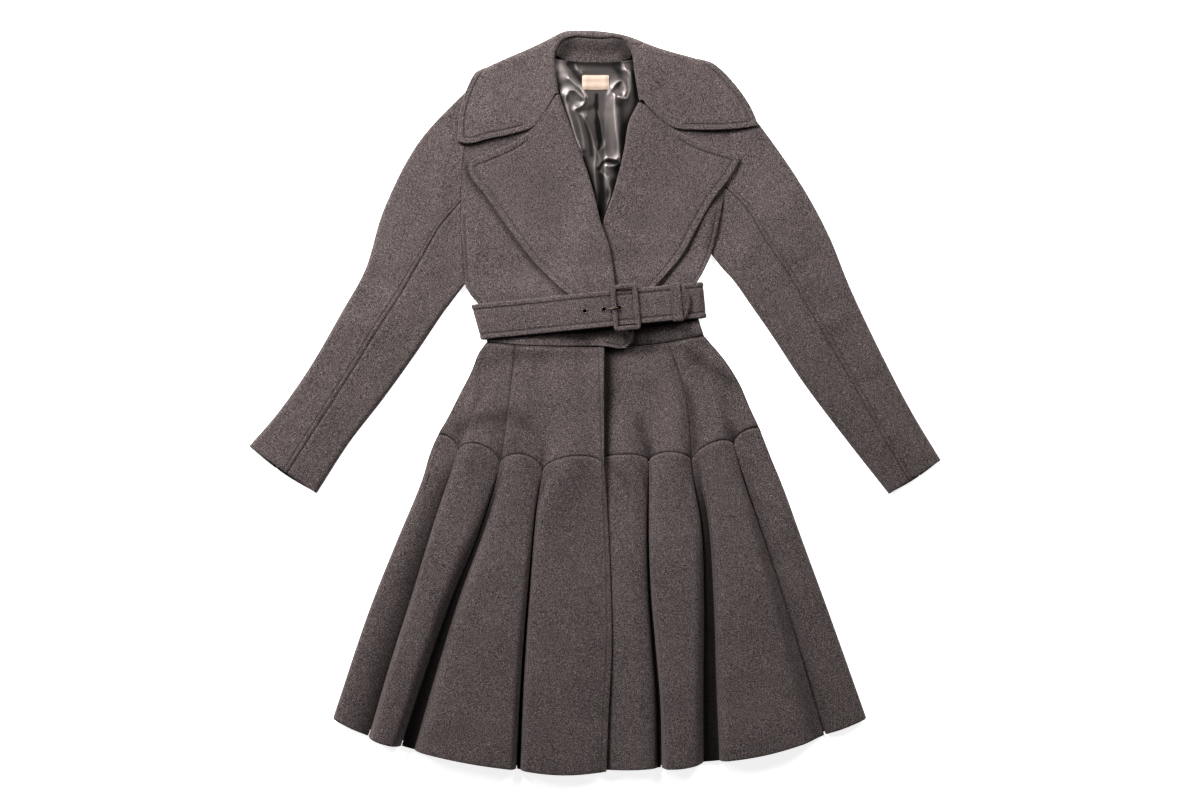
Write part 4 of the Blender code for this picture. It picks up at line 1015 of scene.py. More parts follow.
meetsRight = [
    [(-226, -47), (-233, -62), (-250, -113), (-286, -200), (-321, -287), (-379, -458)],
    [(-196, -75), (-210, -112), (-228, -165), (-266, -287), (-292, -367), (-327, -484)],
    [(-136, -93), (-144, -126), (-159, -171), (-207, -287), (-235, -364), (-280, -498)],
    [(-75, -102), (-83, -152), (-97, -287), (-106, -400), (-113, -531)],
    [(14, -94), (18, -142), (24, -258), (26, -345), (21, -454), (18, -534)],
]
meetsLeft = [
    [(-18, -99), (-14, -200), (-13, -350), (-16, -531)],
    [(79, -88), (78, -130), (82, -287), (88, -354), (95, -436), (97, -529)],
    [(140, -88), (144, -116), (154, -171), (159, -287), (158, -403), (158, -521)],
    [(201, -65), (220, -126), (234, -165), (278, -296), (304, -380), (334, -482)],
    [(238, -37), (248, -62), (270, -115), (301, -200), (333, -287), (394, -458)],
]
frontMeet = meetsRight[-1]
skirt = {
    "ridge": 10.0, "ridgeGrowth": 2.4, "ridgeRound": 0.9, "blend": 0.35, "spread": 0.15, "crestGrowth": 0.8,
    "rows": 100, "yokeRows": 45, "roll": 9, "flat": 16, "floor": 4, "crisp": 20.0, "rollMost": 0.68,
    "stitch": 8.0, "wave": Wave(60, 0.8, 11.0), "waveFrom": 130.0, "waveRun": 80.0,
    "shadeReach": 0.8, "junctionShade": 0.6, "junctionShadeWidth": 6.0, "junctionShadeRun": 42.0,
}
skirtCreases = {
    "right": [
        Crease(-171, 60, -186, -95, 4.0, 11.0), Crease(-92, 90, -112, -60, 3.4, 16.0),
        Crease(-40, 66, -48, -150, 3.0, 34.0), Crease(11, 96, 13, -10, 5.0, 14.0),
        Crease(12, 92, 15, -140, 6.0, 12.0), Crease(-196, -20, -214, -60, 1.5, 9.0),
        Crease(-120, 84, -70, 70, 1.6, 9.0),
    ],
    "left": [
        Crease(66, 60, 60, -40, 1.8, 16.0), Crease(97, 84, 124, -20, 6.0, 12.0),
        Crease(122, 0, 132, -96, 4.0, 12.0),
        Crease(172, 70, 186, -60, 4.0, 12.0), Crease(206, -10, 226, -50, 1.5, 9.0),
        Crease(128, 92, 150, 60, 2.4, 10.0),
    ],
}
# painted shade strokes on the yoke panels, beside creases and seams
skirtShade = {
    "skirt_side_right": [Fold(0.45, 12, [(-196, -36), (-165, -26), (-130, -22)])],
    "skirt_front_right": [Fold(0.45, 12, [(-122, -18), (-104, -26)]), Fold(0.35, 8, [(-118, 84), (-114, 62)]),
                          Fold(0.35, 12, [(-116, -58), (-126, -96)])],
    "skirt_front_left": [Fold(0.4, 9, [(30, 82), (66, 80), (100, 82)]),
                         Fold(0.4, 10, [(66, -30), (78, -76)])],
    "skirt_side_left": [Fold(0.5, 8, [(134, 14), (142, -24), (146, -62)]),
                        Fold(0.45, 9, [(138, 72), (165, 52), (196, 30)]),
                        Fold(0.4, 10, [(196, -38), (204, -68)])],
}


def arch(gore, t):
    if gore is goresRight[0]:
        return gore.rise * (np.sqrt(np.maximum(0, 1 - t * t)) + t - 1)
    if gore is goresLeft[-1]:
        return gore.rise * (np.sqrt(np.maximum(0, 1 - (1 - t) ** 2)) - t)
    return gore.rise * np.sqrt(np.maximum(0, 1 - (2 * t - 1) ** 2))


def halfOf(share):
    # which half of a yoke a share is in, and the share of that half
    k = np.minimum((share * 2).astype(int), 1)
    return k, share * 2 - k


def archedSeam(gores, meets):
    ends = np.array([meet[0] for meet in meets], float)

    def place(share):
        k, t = halfOf(np.asarray(share, float))
        rise = np.where(k == 0, arch(gores[0], t), arch(gores[1], t))
        flat = (1 - t)[..., None] * ends[k] + t[..., None] * ends[k + 1]
        return flat + np.stack([0 * rise, rise], -1)

    return place


class Yoke:
    def __init__(self, name, top, first, last, gores, meets, side, height):
        self.name = name
        self.gores = gores
        self.meets = meets
        self.side = side
        self.height = height
        self.creases = skirtCreases["right" if height is rightFront else "left"]
        self.junctionShades = [meet[0] for meet in meets if meet is not frontMeet]
        self.first = curve(first)
        self.last = curve(last)
        self.plan = patch(curve(top), archedSeam(gores, meets), self.first, self.last)

    def point(self, across, down):
        across = np.asarray(across, float)
        down = np.asarray(down, float) + 0 * across
        xy = self.plan(across, down)
        x, y = xy[..., 0], xy[..., 1]
        k, t = halfOf(across)
        high = np.sin(np.pi * np.clip(t, 0, 1)) ** skirt["ridgeRound"]
        ridge = 0.0
        for index, gore in enumerate(self.gores):
            if gore is goresLeft[0]:
                ridge = ridge + np.where(k == index, high * smooth((x - 16) / 30), 0)
            elif gore not in (goresRight[0], goresLeft[-1]):
                ridge = ridge + np.where(k == index, high, 0)
        drop = 0.0
        if self.side:
            edge = self.first(down) if self.side < 0 else self.last(down)
            drop = sideDrop(np.linalg.norm(xy - edge, axis=-1))
        return stack(xy, self.height(x, y) + skirt["ridge"] * down ** skirt["ridgeGrowth"] * ridge - drop)

    def grid(self, across, down):
        a, d = np.meshgrid(across, down)
        grid = self.point(a, d)
        x, y = grid[..., 0], grid[..., 1]
        grid[..., 2] += creased(x, y, self.creases)
        # painted shade: strokes, dark spots at the gore junctions fading upwards, and the front edge's shadow
        paintedDark = strokes(x, y, skirtShade[self.name], soft)
        for mx, my in self.junctionShades:
            near = soft((x - mx) / skirt["junctionShadeWidth"])
            paintedDark += skirt["junctionShade"] * near * smooth((my + skirt["junctionShadeRun"] - y) / skirt["junctionShadeRun"])
        if self.name == "skirt_front_left":  # in the shadow of the front edge
            paintedDark += 0.6 * (1 - smooth((x - 16) / (15 + 0.1 * np.maximum(0, y + 60))))
        return grid, np.clip(paintedDark, 0, 1)


def goreProfile(gore, width, fullWidth, crest, down):
    # shares of a gore's width and of its crest: a slot's floor, the roll up, the crown, the roll down
    halves = []
    sides = ((gore.leftRoll, gore.leftSlot, 0.0), (gore.rightRoll, gore.rightSlot, gore.rightLow))
    for roll, slot, low in sides:
        crisp = roll < skirt["crisp"]
        run = min(roll if crisp else roll * width / fullWidth, skirt["rollMost"] * width)
        k = evenly(skirt["roll"] + 1)
        angle = np.radians(90 * k)
        share = (1 - np.cos(angle) if crisp else k) * run
        climb = np.sin(angle) if crisp else smooth(k)
        inset = 0.5
        if slot:
            floor = slot * (0.25 + 0.75 * down)
            share = np.concatenate([np.linspace(0, floor, skirt["floor"] + 1)[:-1], floor + share])
            climb = np.concatenate([np.zeros(skirt["floor"]), climb])
        else:
            steep = math.atan2((1 - low) * climb[3] * crest, share[3])
            inset += wool["wall"] / 2 * math.sin(steep)
        halves.append(((inset + share) / width, low + (1 - low) * climb))
    (left, leftClimb), (right, rightClimb) = halves
    k = evenly(skirt["flat"] + 1)[1:-1]
    flat = left[-1] + k * (1 - right[-1] - left[-1])
    share = np.concatenate([left, flat, 1 - right[::-1]])
    climb = np.concatenate([leftClimb, 1 + 0.04 * np.sin(np.pi * k), rightClimb[::-1]])
    return share, climb


def goreGrid(gore, k, yoke, meets):
    first, last = curve(meets[0]), curve(meets[1])
    hemLeft, hemRight = np.array(meets[0][-1], float), np.array(meets[1][-1], float)

    def hem(share):
        share = np.asarray(share, float)
        sag = -gore.sag * np.sin(np.pi * share)
        return (1 - share)[..., None] * hemLeft + share[..., None] * hemRight + np.stack([0 * sag, sag], -1)

    def seam(share):
        return yoke.point((k + np.asarray(share, float)) / 2, 1.0)[..., :2]

    plan = patch(seam, hem, first, last)
    fullWidth = np.linalg.norm(hemRight - hemLeft)
    rows, shades = [], []
    for down in evenly(skirt["rows"] + 1):
        crest = gore.crestTop + (gore.crest - gore.crestTop) * down ** skirt["crestGrowth"]
        share, climb = goreProfile(gore, np.linalg.norm(last(down) - first(down)), fullWidth, crest, down)
        grown = smooth(down / skirt["blend"])
        even = evenly(len(share))
        spread = smooth(down / skirt["spread"])
        xy = plan((1 - spread) * even + spread * share, down + 0 * share)
        top = yoke.point((k + even) / 2, 1.0)[..., 2]
        rows.append(stack(xy, (1 - grown) * top + grown * (levels["valley"] + crest * climb)))
        # painted shade: darker where the gore drops into a slot, growing below the yoke
        paintedDark = 1 - smooth((climb - gore.rightLow * (share > 0.5)) / skirt["shadeReach"])
        paintedDark = paintedDark * np.where(share < 0.5, gore.leftShade, gore.rightShade)
        shades.append(smooth((down + 0.06) / 0.26) * paintedDark)
    grid = np.array(rows)
    x, y = grid[..., 0], grid[..., 1]
    below = smooth((-y - skirt["waveFrom"]) / skirt["waveRun"])
    grid[..., 2] += creased(x, y, yoke.creases) + uneven(x, y, skirt["wave"]) * below
    return grid, np.array(shades)


def makeSkirt():
    leftTop = [(x, y - 1) for x, y in waistLeft]
    yokes = [
        Yoke("skirt_side_right", [(-155, 87), (-115, 82)], skirtSideRight, princessRight,
             goresRight[:2], meetsRight[:3], -1, rightFront),
        Yoke("skirt_front_right", [(-115, 82), (-50, 80), (14, 79)], princessRight, frontEdge,
             goresRight[2:], meetsRight[2:], 0, rightFront),
        Yoke("skirt_front_left", leftTop[:3], underEdge, princessLeft,
             goresLeft[:2], meetsLeft[:3], 0, leftFront),
        Yoke("skirt_side_left", leftTop[2:], princessLeft, skirtSideLeft,
             goresLeft[2:], meetsLeft[2:], 1, leftFront),
    ]
    stitched = ("free", skirt["stitch"])
    for yoke in yokes:
        isFront = yoke.name == "skirt_front_right"
        edges = {"bottom": ("pressed",)}
        if isFront:
            edges["right"] = stitched
        grid, paintedShading = yoke.grid(graded(150, 3.2, end=isFront), evenly(skirt["yokeRows"]))
        clothPiece(yoke.name, grid, edges=edges, paintedShading=paintedShading)
        for j, gore in enumerate(yoke.gores):
            edges = {"top": ("pressed",), "bottom": ("free",)}
            if gore.name == "gore_right_1":
                edges["right"] = stitched
            grid, paintedShading = goreGrid(gore, j, yoke, yoke.meets[j:j + 2])
            clothPiece(gore.name, grid, edges=edges, paintedShading=paintedShading)
    print("skirt made")


# Collar: rolled at the neck, its fall turned over the shoulders and under the back
collarInner = [(-52, 446), (-56, 478), (-55, 508), (-46, 521), (4, 525), (44, 521), (54, 504), (58, 478),
               (65, 436)]
collarOuter = [(-197, 376), (-194, 419), (-183, 455), (-157, 499), (-86, 590), (4, 622), (95, 590),
               (153, 505), (190, 473), (228, 420), (236, 400)]
collarEndRight = [(-52, 446), (-72, 420), (-89, 398), (-115, 389), (-152, 381), (-185, 374), (-197, 376)]
collarEndLeft = [(65, 436), (91, 413), (115, 397), (146, 394), (182, 394), (220, 397), (236, 400)]
shoulderLine = [(-260, 450), (-184, 473), (-127, 498), (-92, 513), (-67, 525), (-46, 536), (-17, 538),
                (14, 536), (43, 531), (92, 513), (153, 496), (240, 474)]
shoulderSteps = curve(shoulderLine)(evenly(301))
collarLook = {"stitch": 8.0, "stitchFrom": (0.4, 0.5), "length": 690.0, "coarse": 4.0, "fallStart": 7.0,
              "fallEnd": 13.0, "top": 26, "turn": 12, "fall": 14}


def pastShoulder(points):
    gaps = np.linalg.norm(points[..., None, :] - shoulderSteps, axis=-1)
    k = np.clip(np.argmin(gaps, axis=-1), 2, len(shoulderSteps) - 3)
    along = shoulderSteps[k + 2] - shoulderSteps[k - 2]
    out = unit(np.stack([-along[..., 1], along[..., 0]], -1))
    return ((points - shoulderSteps[k]) * out).sum(-1), out


def turnOver(points, level):
    # what lies past the shoulders turns down and in under the back
    beyond, out = pastShoulder(points)
    foot = points - beyond[..., None] * out
    low = wool["double"] / 2
    radius = (level - low) / 2
    bend = beyond + low + radius
    angle = np.clip(bend / radius, 0, np.pi)
    turned = foot + out * (radius * np.sin(angle) - radius - low)[..., None]
    under = foot - out * (bend - np.pi * radius + radius + low)[..., None]
    isFlat, isUnder = bend <= 0, bend >= np.pi * radius
    xy = np.where(isFlat[..., None], points, np.where(isUnder[..., None], under, turned))
    z = np.where(isFlat, level, np.where(isUnder, low, low + radius * (1 + np.cos(angle))))
    return stack(xy, z)


def makeCollar():
    look = collarLook
    radius = rollRadius(0)
    inner = curve(collarInner)
    start = beside(inner, -(radius + wool["double"] / 2))
    rightEnd = curve([tuple(start(0))] + collarEndRight[1:])
    leftEnd = curve([tuple(start(1))] + collarEndLeft[1:])
    plan = patch(rightEnd, leftEnd, start, curve(collarOuter))
    rows = []
    probe = evenly(61)
    for share in graded(look["length"], look["coarse"], start=True, end=True):
        begin = start(share)
        xy = begin + (radius * np.sin(rollTurn))[:, None] * unit(inner(share) - begin)
        rolled = stack(xy, leftFront(*begin) + radius * (1 + np.cos(rollTurn)))
        past, _ = pastShoulder(plan(probe, share + 0 * probe))
        bend = float(np.clip(np.interp(-look["fallStart"], past, probe), 0.05, 0.8))
        fall = max(min(0.93, float(np.interp(look["fallEnd"], past, probe))), bend + 0.06)
        across = np.concatenate([np.linspace(0, bend, look["top"] + 1),
                                 np.linspace(bend, fall, look["turn"] + 1)[1:],
                                 np.linspace(fall, 1, look["fall"] + 1)[1:]])
        flat = plan(across, share + 0 * across)
        x, y = flat[:, 0], flat[:, 1]
        away = np.linalg.norm(flat - begin, axis=1)
        level = leftFront(x, y) + leafRise(x) + spring(radius, away)
        rows.append(np.concatenate([rolled, turnOver(flat, level)]))
    ends = ("gorge", look["stitch"], look["stitchFrom"])
    clothPiece("collar", np.array(rows), wool["double"],
               edges={"top": ends, "bottom": ends, "right": ("free", look["stitch"])},
               restsOn=["front_bodice_right", "front_bodice_left", "back_bodice"])
    print("collar made")


# Inside the neck: stand, satin lining with its crumples, blank label
neckLook = {
    "labelX": -18.0, "labelY": 473.0, "labelWidth": 39.0, "labelHeight": 21.0,
    "standFoot": 6.4, "standRise": 7.2, "standRun": 24.0, "standFrom": 491.0, "standEase": 14.0,
    "standEnds": (0.242, 0.732), "standDrops": (7, 6), "standInset": 0.35, "standPaintedShade": 0.22,
    "loose": 0.9, "foldMost": 4.6, "underLabel": 0.25, "sewnFrom": 478.0, "sewnRun": 12.0,
    "crest": 1.4, "crestGleam": 0.3,
}
neckSteps = curve(collarInner)(evenly(201))
liningFolds = [
    Fold(3.0, 2.2, [(-41, 444), (-42, 436), (-39, 421), (-34, 405), (-28, 383), (-22, 368), (-18, 356)]),
    Fold(2.6, 2.0, [(-41, 444), (-37, 450), (-30, 451), (-22, 445), (-14, 435), (-17, 430), (-26, 425)]),
    Fold(2.2, 2.2, [(-37, 468), (-26, 458), (-18, 451), (-13, 442)]),
    Fold(1.8, 2.0, [(-28, 421), (-22, 405), (-17, 384), (-15, 366)]),
    Fold(3.0, 2.6, [(-19, 416), (-9, 399), (-2, 377), (1, 358), (0, 340), (1, 321), (3, 303), (5, 283)]),
    Fold(3.0, 2.6, [(29, 444), (30, 421), (32, 395), (35, 368), (35, 350)]),
    Fold(2.0, 2.6, [(5, 420), (9, 405), (12, 384), (14, 371), (7, 364)]),
    Fold(2.2, 2.2, [(6, 342), (11, 350), (18, 353), (33, 351)]),
    Fold(2.4, 2.0, [(16, 342), (25, 341), (33, 343), (37, 348)]),
    Fold(1.8, 2.0, [(0, 369), (6, 358), (8, 349), (4, 342)]),
    Fold(2.6, 2.2, [(9, 334), (16, 327), (20, 312), (23, 301), (19, 286), (11, 266)]),
    Fold(2.4, 2.0, [(26, 453), (31, 460), (39, 464), (43, 458), (45, 449), (41, 442), (36, 441)]),
    Fold(2.6, 2.2, [(41, 490), (45, 482), (50, 473), (51, 462), (50, 447), (46, 439), (38, 439)]),
    Fold(1.6, 2.0, [(-28, 488), (-19, 474)]),
]
# painted shade on the collar stand: dark corners on top of an even darkening
standShade = [
    Fold(0.55, 11, [(-52, 500), (-46, 514), (-40, 518)]),
    Fold(0.55, 11, [(52, 498), (44, 512), (38, 516)]),
]
# painted highlights on the satin lining
liningGleam = [
    Fold(0.7, 8, [(-51, 488), (-46, 474)]),
    Fold(0.5, 9, [(20, 415), (24, 390), (26, 365)]),
    Fold(0.5, 6, [(18, 338), (26, 328)]),
    Fold(0.35, 6, [(-33, 440), (-26, 438)]),
    Fold(0.35, 6, [(22, 445), (20, 430)]),
]
# painted shade in the lining's folds and beside the lapel edges
liningShade = [
    Fold(1.0, 3, [(3, 444), (3, 429), (4, 410), (6, 395), (8, 377), (6, 366)]),
    Fold(0.8, 6, [(5, 405), (7, 382)]),
    Fold(1.0, 8, [(58, 492), (58, 464), (62, 432), (52, 406), (44, 384), (39, 358), (31, 331), (22, 294),
                  (11, 260)]),
    Fold(0.9, 8, [(-21, 358), (-9, 329), (-2, 303), (4, 279)]),
    Fold(1.0, 3.5, [(6, 338), (11, 346), (18, 349), (31, 346)]),
    Fold(0.6, 5, [(-26, 420), (-11, 424), (0, 429)]),
    Fold(0.7, 4, [(-13, 410), (-7, 384), (-4, 358)]),
    Fold(0.9, 6, [(9, 329), (11, 303), (9, 275)]),
    Fold(0.8, 9, [(-33, 492), (4, 490), (30, 488)]),
    Fold(0.7, 5, [(-37, 488), (-19, 464)]),
    Fold(0.7, 6, [(33, 488), (37, 469), (30, 455)]),
    Fold(0.6, 5, [(-50, 460), (-48, 440), (-40, 405)]),
    Fold(0.6, 6, [(38, 430), (40, 400), (41, 380)]),
]


def ridge(gap):
    # a crest that is sharp on top and wide at its foot
    return 0.55 * np.exp(0.25 - np.sqrt(gap * gap + 0.0625)) + 0.45 * np.exp(-((gap / 4) ** 2))


def liningHeight(x, y):
    x, y = np.asarray(x, float), np.asarray(y, float)
    base = levels["back"] + lift(x, y) + wool["wall"] / 2 + wool["seam"] + wool["lining"] / 2
    offLabel = smooth((abs(x - neckLook["labelX"] - 20) - 17) / 6 + smooth(abs(y - 462) / 14 - 0.6))
    folds = np.minimum(strokes(x, y, liningFolds, ridge), neckLook["foldMost"])
    folds = folds * (neckLook["underLabel"] + (1 - neckLook["underLabel"]) * offLabel)
    sewn = smooth((y - neckLook["sewnFrom"]) / neckLook["sewnRun"])
    return base + (neckLook["loose"] + folds) * (1 - sewn)


def labelHeight(x, y):
    return liningHeight(x, y) + wool["lining"] + wool["seam"]


def standHeight(x, y):
    # it climbs into the collar's roll behind the neck and at both corners
    gap = np.min(np.hypot(x[..., None] - neckSteps[:, 0], y[..., None] - neckSteps[:, 1]), axis=-1)
    climb = neckLook["standRise"] * (1 - smooth((gap - 1) / neckLook["standRun"]))
    return neckLook["standFoot"] + climb * smooth((y - neckLook["standFrom"]) / neckLook["standEase"])


def makeNeck():
    roll = beside(curve(collarInner), neckLook["standInset"])
    begin, end = neckLook["standEnds"]
    ends = [tuple(roll(begin)), tuple(roll(end))]
    feet = [(x, y - drop) for (x, y), drop in zip(ends, neckLook["standDrops"])]
    low = [feet[0], (-42, 495), (4, 491), (42, 494), feet[1]]
    stand = patch(lambda share: roll(begin + np.asarray(share, float) * (end - begin)), curve(low),
                  curve([ends[0], low[0]]), curve([ends[1], low[-1]]))
    grid = panelGrid(stand, standHeight, evenly(91), evenly(19))
    clothPiece("collar_stand", grid, edges={side: ("flush",) for side in sideNames},
               paintedShading=shadeOf(grid, standShade, neckLook["standPaintedShade"]))
    left = curve([(-63, 498), (-64, 444), (-47, 394), (-28, 344), (-14, 302), (-6, 250)])
    right = curve([(63, 497), (77, 434), (63, 400), (57, 370), (44, 312), (24, 250)])
    top = curve([(-63, 498), (-42, 494.6), (4, 490.6), (42, 493.6), (63, 497)])
    plan = patch(top, curve([(-6, 250), (24, 250)]), left, right)
    grid = panelGrid(plan, liningHeight, evenly(141), evenly(250))
    x, y = grid[..., 0], grid[..., 1]
    # painted highlights along the fold crests and on panels, painted shade in the folds
    gleam = neckLook["crestGleam"] * strokes(x, y, liningFolds, soft, neckLook["crest"])
    gleam = gleam + strokes(x, y, liningGleam, soft)
    shade = strokes(x, y, liningShade, soft) - gleam
    clothPiece("neck_lining", grid, wool["lining"], satinFinish, restsOn=["back_bodice"],
               edges={"top": ("flush",)}, paintedShading=np.clip(shade, -1, 1))

    def label(across, down):
        return np.stack([neckLook["labelX"] + across * neckLook["labelWidth"],
                         neckLook["labelY"] - down * neckLook["labelHeight"]], -1)

    clothPiece("neck_label", panelGrid(label, labelHeight, evenly(41), evenly(23)),
               wool["lining"], ribbonFinish, restsOn=["neck_lining"])
    print("neck made")


# Belt
StrapRow = namedtuple("StrapRow", "along height")
strapOver = [
    StrapRow(139, 22.0), StrapRow(118, 23.2), StrapRow(96, 24.4), StrapRow(72, 25.6), StrapRow(47, 27.2),
    StrapRow(29, 29.6), StrapRow(8, 30.0), StrapRow(-14, 29.8), StrapRow(-31, 28.8), StrapRow(-48, 25.0),
    StrapRow(-66, 20.5), StrapRow(-90, 17.2), StrapRow(-130, 16.0), StrapRow(-160, 15.6),
]
strapUnder = [
    StrapRow(148, 16.2), StrapRow(118, 18.0), StrapRow(96, 19.2), StrapRow(74, 19.6), StrapRow(54, 19.6),
]
strap = {
    "leftEnd": -172.0, "rightEnd": 160.0, "slant": 0.18, "slantFrom": 110.0, "slantRun": 50.0, "stitch": 7.0,
    "tipRound": 11.0, "tipFade": 30.0, "coarse": 3.0, "fineReach": 9.8, "turnedIn": 10.0,
}
buckle = {
    "along": 45.0, "width": 39.0, "height": 67.0, "bar": 7.0, "depth": 4.0, "level": 32.6, "tilt": -0.11,
    "corner": 2.0, "sides": 22, "square": 0.7, "barLevel": 23.0, "barBend": 2.0, "barRadius": 1.2,
    "prongRadius": 0.9,
}
prongPath = [
    StrapRow(43.2, 23.0), StrapRow(40, 22.4), StrapRow(37.6, 23.2), StrapRow(36.5, 26.0),
    StrapRow(35.9, 30.6), StrapRow(34.4, 34.8), StrapRow(31, 37.6), StrapRow(26.5, 37.7),
    StrapRow(19.5, 35.2),
]
eyelets = {"along": (-14.0, 14.0, 36.2), "hole": 2.5, "rim": 4.0, "raised": 0.45, "thick": 0.55,
           "cutSides": 24}
keeper = {"along": 119.0, "width": 13.0, "wall": 1.6, "room": 0.5, "beside": 2.2, "corner": 2.4,
          "tilt": -0.05}


def beltPlace(along, across):
    along, across = np.asarray(along, float), np.asarray(across, float)
    lean = strap["slant"] * across * smooth((-along - strap["slantFrom"]) / strap["slantRun"])
    direction = unit(np.array([1, belt["slope"]]))
    side = np.array([-direction[1], direction[0]])
    return np.array([0, belt["y"]]) + (along - lean)[..., None] * direction + across[..., None] * side


def heightAlong(rows):
    # the strap's height by the place along the belt
    rows = sorted(rows)
    height = through([(row.height,) for row in rows], [row.along for row in rows])
    return lambda along: height(along)[..., 0]


strapHeight = heightAlong(strapOver)


def strapPath():
    # from the tip over the front, round under the coat and up to the buckle's bar
    low = wool["strap"] / 2
    over = np.linspace(strapOver[0].along, strapOver[-1].along, 86)
    path = list(zip(over, strapHeight(over)))
    wraps = ((strap["leftEnd"], strapOver[-1].height, -1), (strap["rightEnd"], strapUnder[0].height, 1))
    for end, top, way in wraps:
        radius = (top - low) / 2
        centre = end - way * (radius + low)
        turns = np.linspace(12, 168, 11)
        if way > 0:
            path += [(along, low) for along in np.linspace(strap["leftEnd"] + strap["turnedIn"], centre, 40)]
            turns = turns[::-1]
        for angle in np.radians(turns):
            path.append((centre + way * radius * math.sin(angle), low + radius * (1 + math.cos(angle))))
    under = np.linspace(strapUnder[0].along, strapUnder[-1].along, 26)
    path += list(zip(under, heightAlong(strapUnder)(under)))
    return np.array(path)


def rodMesh(name, path, radius, sides, ends=(1.0, 1.0)):
    # a round rod along belt points: along, across, height
    path = np.array(path, float)
    spine = stack(beltPlace(path[:, 0], path[:, 1]), path[:, 2])
    radii = np.full(len(spine), radius)
    radii[[0, -1]] *= ends
    points = []
    for place, tangent, reach in zip(spine, unit(np.gradient(spine, axis=0)), radii):
        side = np.array([-belt["slope"], 1, 0]) if abs(tangent[1]) < 0.8 else np.array([1, belt["slope"], 0])
        side = unit(side - (side @ tangent) * tangent)
        points += circle(place, reach, sides, side, np.cross(tangent, side))
    return meshObject(name, points, tubeFaces(len(spine), sides), metalFinish)


def ringMesh(name, rows, finish):
    points = [point for row in rows for point in row]
    return meshObject(name, points, tubeFaces(len(rows), len(rows[0]), closed=True), finish)


def hardPiece(piece, node):
    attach(piece, "root")
    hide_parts(node)


def roundedBox(halfWidth, halfHeight, corner, steps, straight):
    # places and outward directions round a box, with points along its straight sides
    found = []
    for k, (sx, sy) in enumerate(((1, 1), (-1, 1), (-1, -1), (1, -1))):
        for step in range(steps + 1):
            angle = math.radians(90 * k + 90 * step / steps)
            out = np.array([math.cos(angle), math.sin(angle)])
            centre = np.array([sx * (halfWidth - corner), sy * (halfHeight - corner)])
            found.append((centre + corner * out, out))
    full = []
    for k, (place, out) in enumerate(found):
        after = found[(k + 1) % len(found)]
        full.append((place, out))
        if (k + 1) % (steps + 1) == 0:
            for share in evenly(straight + 1)[1:-1]:
                full.append(((1 - share) * place + share * after[0], out))
    return full


def squared(value):
    # rounds a section out towards a square
    return math.copysign(abs(value) ** buckle["square"], value)


def makeBuckle():
    half = buckle["bar"] / 2
    rows = []
    box = roundedBox(buckle["width"] / 2 - half, buckle["height"] / 2 - half, buckle["corner"], 6, 12)
    for place, out in box:
        section = []
        for k in range(buckle["sides"]):
            angle = 2 * math.pi * k / buckle["sides"]
            along, across = place + half * squared(math.cos(angle)) * out
            level = buckle["level"] + buckle["tilt"] * along
            high = buckle["depth"] / 2 * squared(math.sin(angle))
            section.append((*beltPlace(buckle["along"] + along, across), level + high))
        rows.append(section[::-1])
    hardPiece(ringMesh("buckle_frame_covered", rows, woolFinish), "buckle_frame")
    reach = buckle["height"] / 2 - half
    top = buckle["level"] - buckle["depth"] / 2 - wool["seam"]
    low, bend = buckle["barLevel"], buckle["barBend"]
    halfBar = [(0, low), (reach - bend, low), (reach, low + bend), (reach, top)]
    bar = [(-across, z) for across, z in halfBar[:0:-1]] + halfBar
    path = [(buckle["along"], across, z) for across, z in bar]
    hardPiece(rodMesh("buckle_bar_metal", path, buckle["barRadius"], 16), "buckle_bar")
    prong = curve([tuple(row) for row in prongPath])(evenly(40))
    path = [(along, 0, z) for along, z in prong]
    rod = rodMesh("buckle_prong_metal", path, buckle["prongRadius"], 14, (0.6, 0.5))
    hardPiece(rod, "buckle_prong")


def makeEyelets():
    middle = (eyelets["hole"] + eyelets["rim"]) / 2
    half = (eyelets["rim"] - eyelets["hole"]) / 2
    for k, along in enumerate(eyelets["along"]):
        rows = []
        for angle in np.linspace(0, 2 * math.pi, 48, endpoint=False):
            section = []
            for turn in np.linspace(0, 2 * math.pi, 14, endpoint=False):
                reach = middle - half * math.cos(turn)
                offset = reach * math.cos(angle)
                z = strapHeight(along + offset) + wool["strap"] / 2 + eyelets["raised"]
                place = beltPlace(along + offset, reach * math.sin(angle))
                section.append((*place, z + eyelets["thick"] * math.sin(turn)))
            rows.append(section)
        hardPiece(ringMesh("eyelet_%d_ring" % (k + 1), rows, metalFinish), "eyelet_%d" % (k + 1))


def cutHoles(piece):
    points, faces = [], []
    reach, sides = eyelets["hole"], eyelets["cutSides"]
    for along in eyelets["along"]:
        faces += tubeFaces(2, sides, len(points))
        level = float(strapHeight(along))
        for z in (level - wool["strap"] / 2 - 1, level + wool["strap"] / 2 + 2):
            for angle in np.linspace(0, 2 * math.pi, sides, endpoint=False):
                points.append((*beltPlace(along + reach * math.cos(angle), reach * math.sin(angle)), z))
    cutter = meshObject("hole_cutter", points, faces, woolFinish)
    holes = piece.modifiers.new("holes", "BOOLEAN")
    holes.object = cutter
    holes.solver = "EXACT"
    view = bpy.context.evaluated_depsgraph_get()
    cut = bpy.data.meshes.new_from_object(piece.evaluated_get(view))
    piece.modifiers.clear()
    piece.data = cut
    bpy.data.objects.remove(cutter)


def makeStrap():
    path = strapPath()
    across = graded(belt["width"], strap["coarse"], start=True, end=True, reach=strap["fineReach"])
    a, c = np.meshgrid((across - 0.5) * belt["width"], np.arange(len(path)))
    fade = 1 - smooth(runOf(path) / strap["tipFade"])
    along = path[c, 0] - strap["tipRound"] * fade[c] * (2 * a / belt["width"]) ** 2
    stitched = ("free", strap["stitch"])
    piece = clothPiece("belt_strap", stack(beltPlace(along, a), path[c, 1]), wool["strap"],
                       edges={"left": stitched, "right": stitched, "top": stitched, "bottom": ("free",)})
    cutHoles(piece)


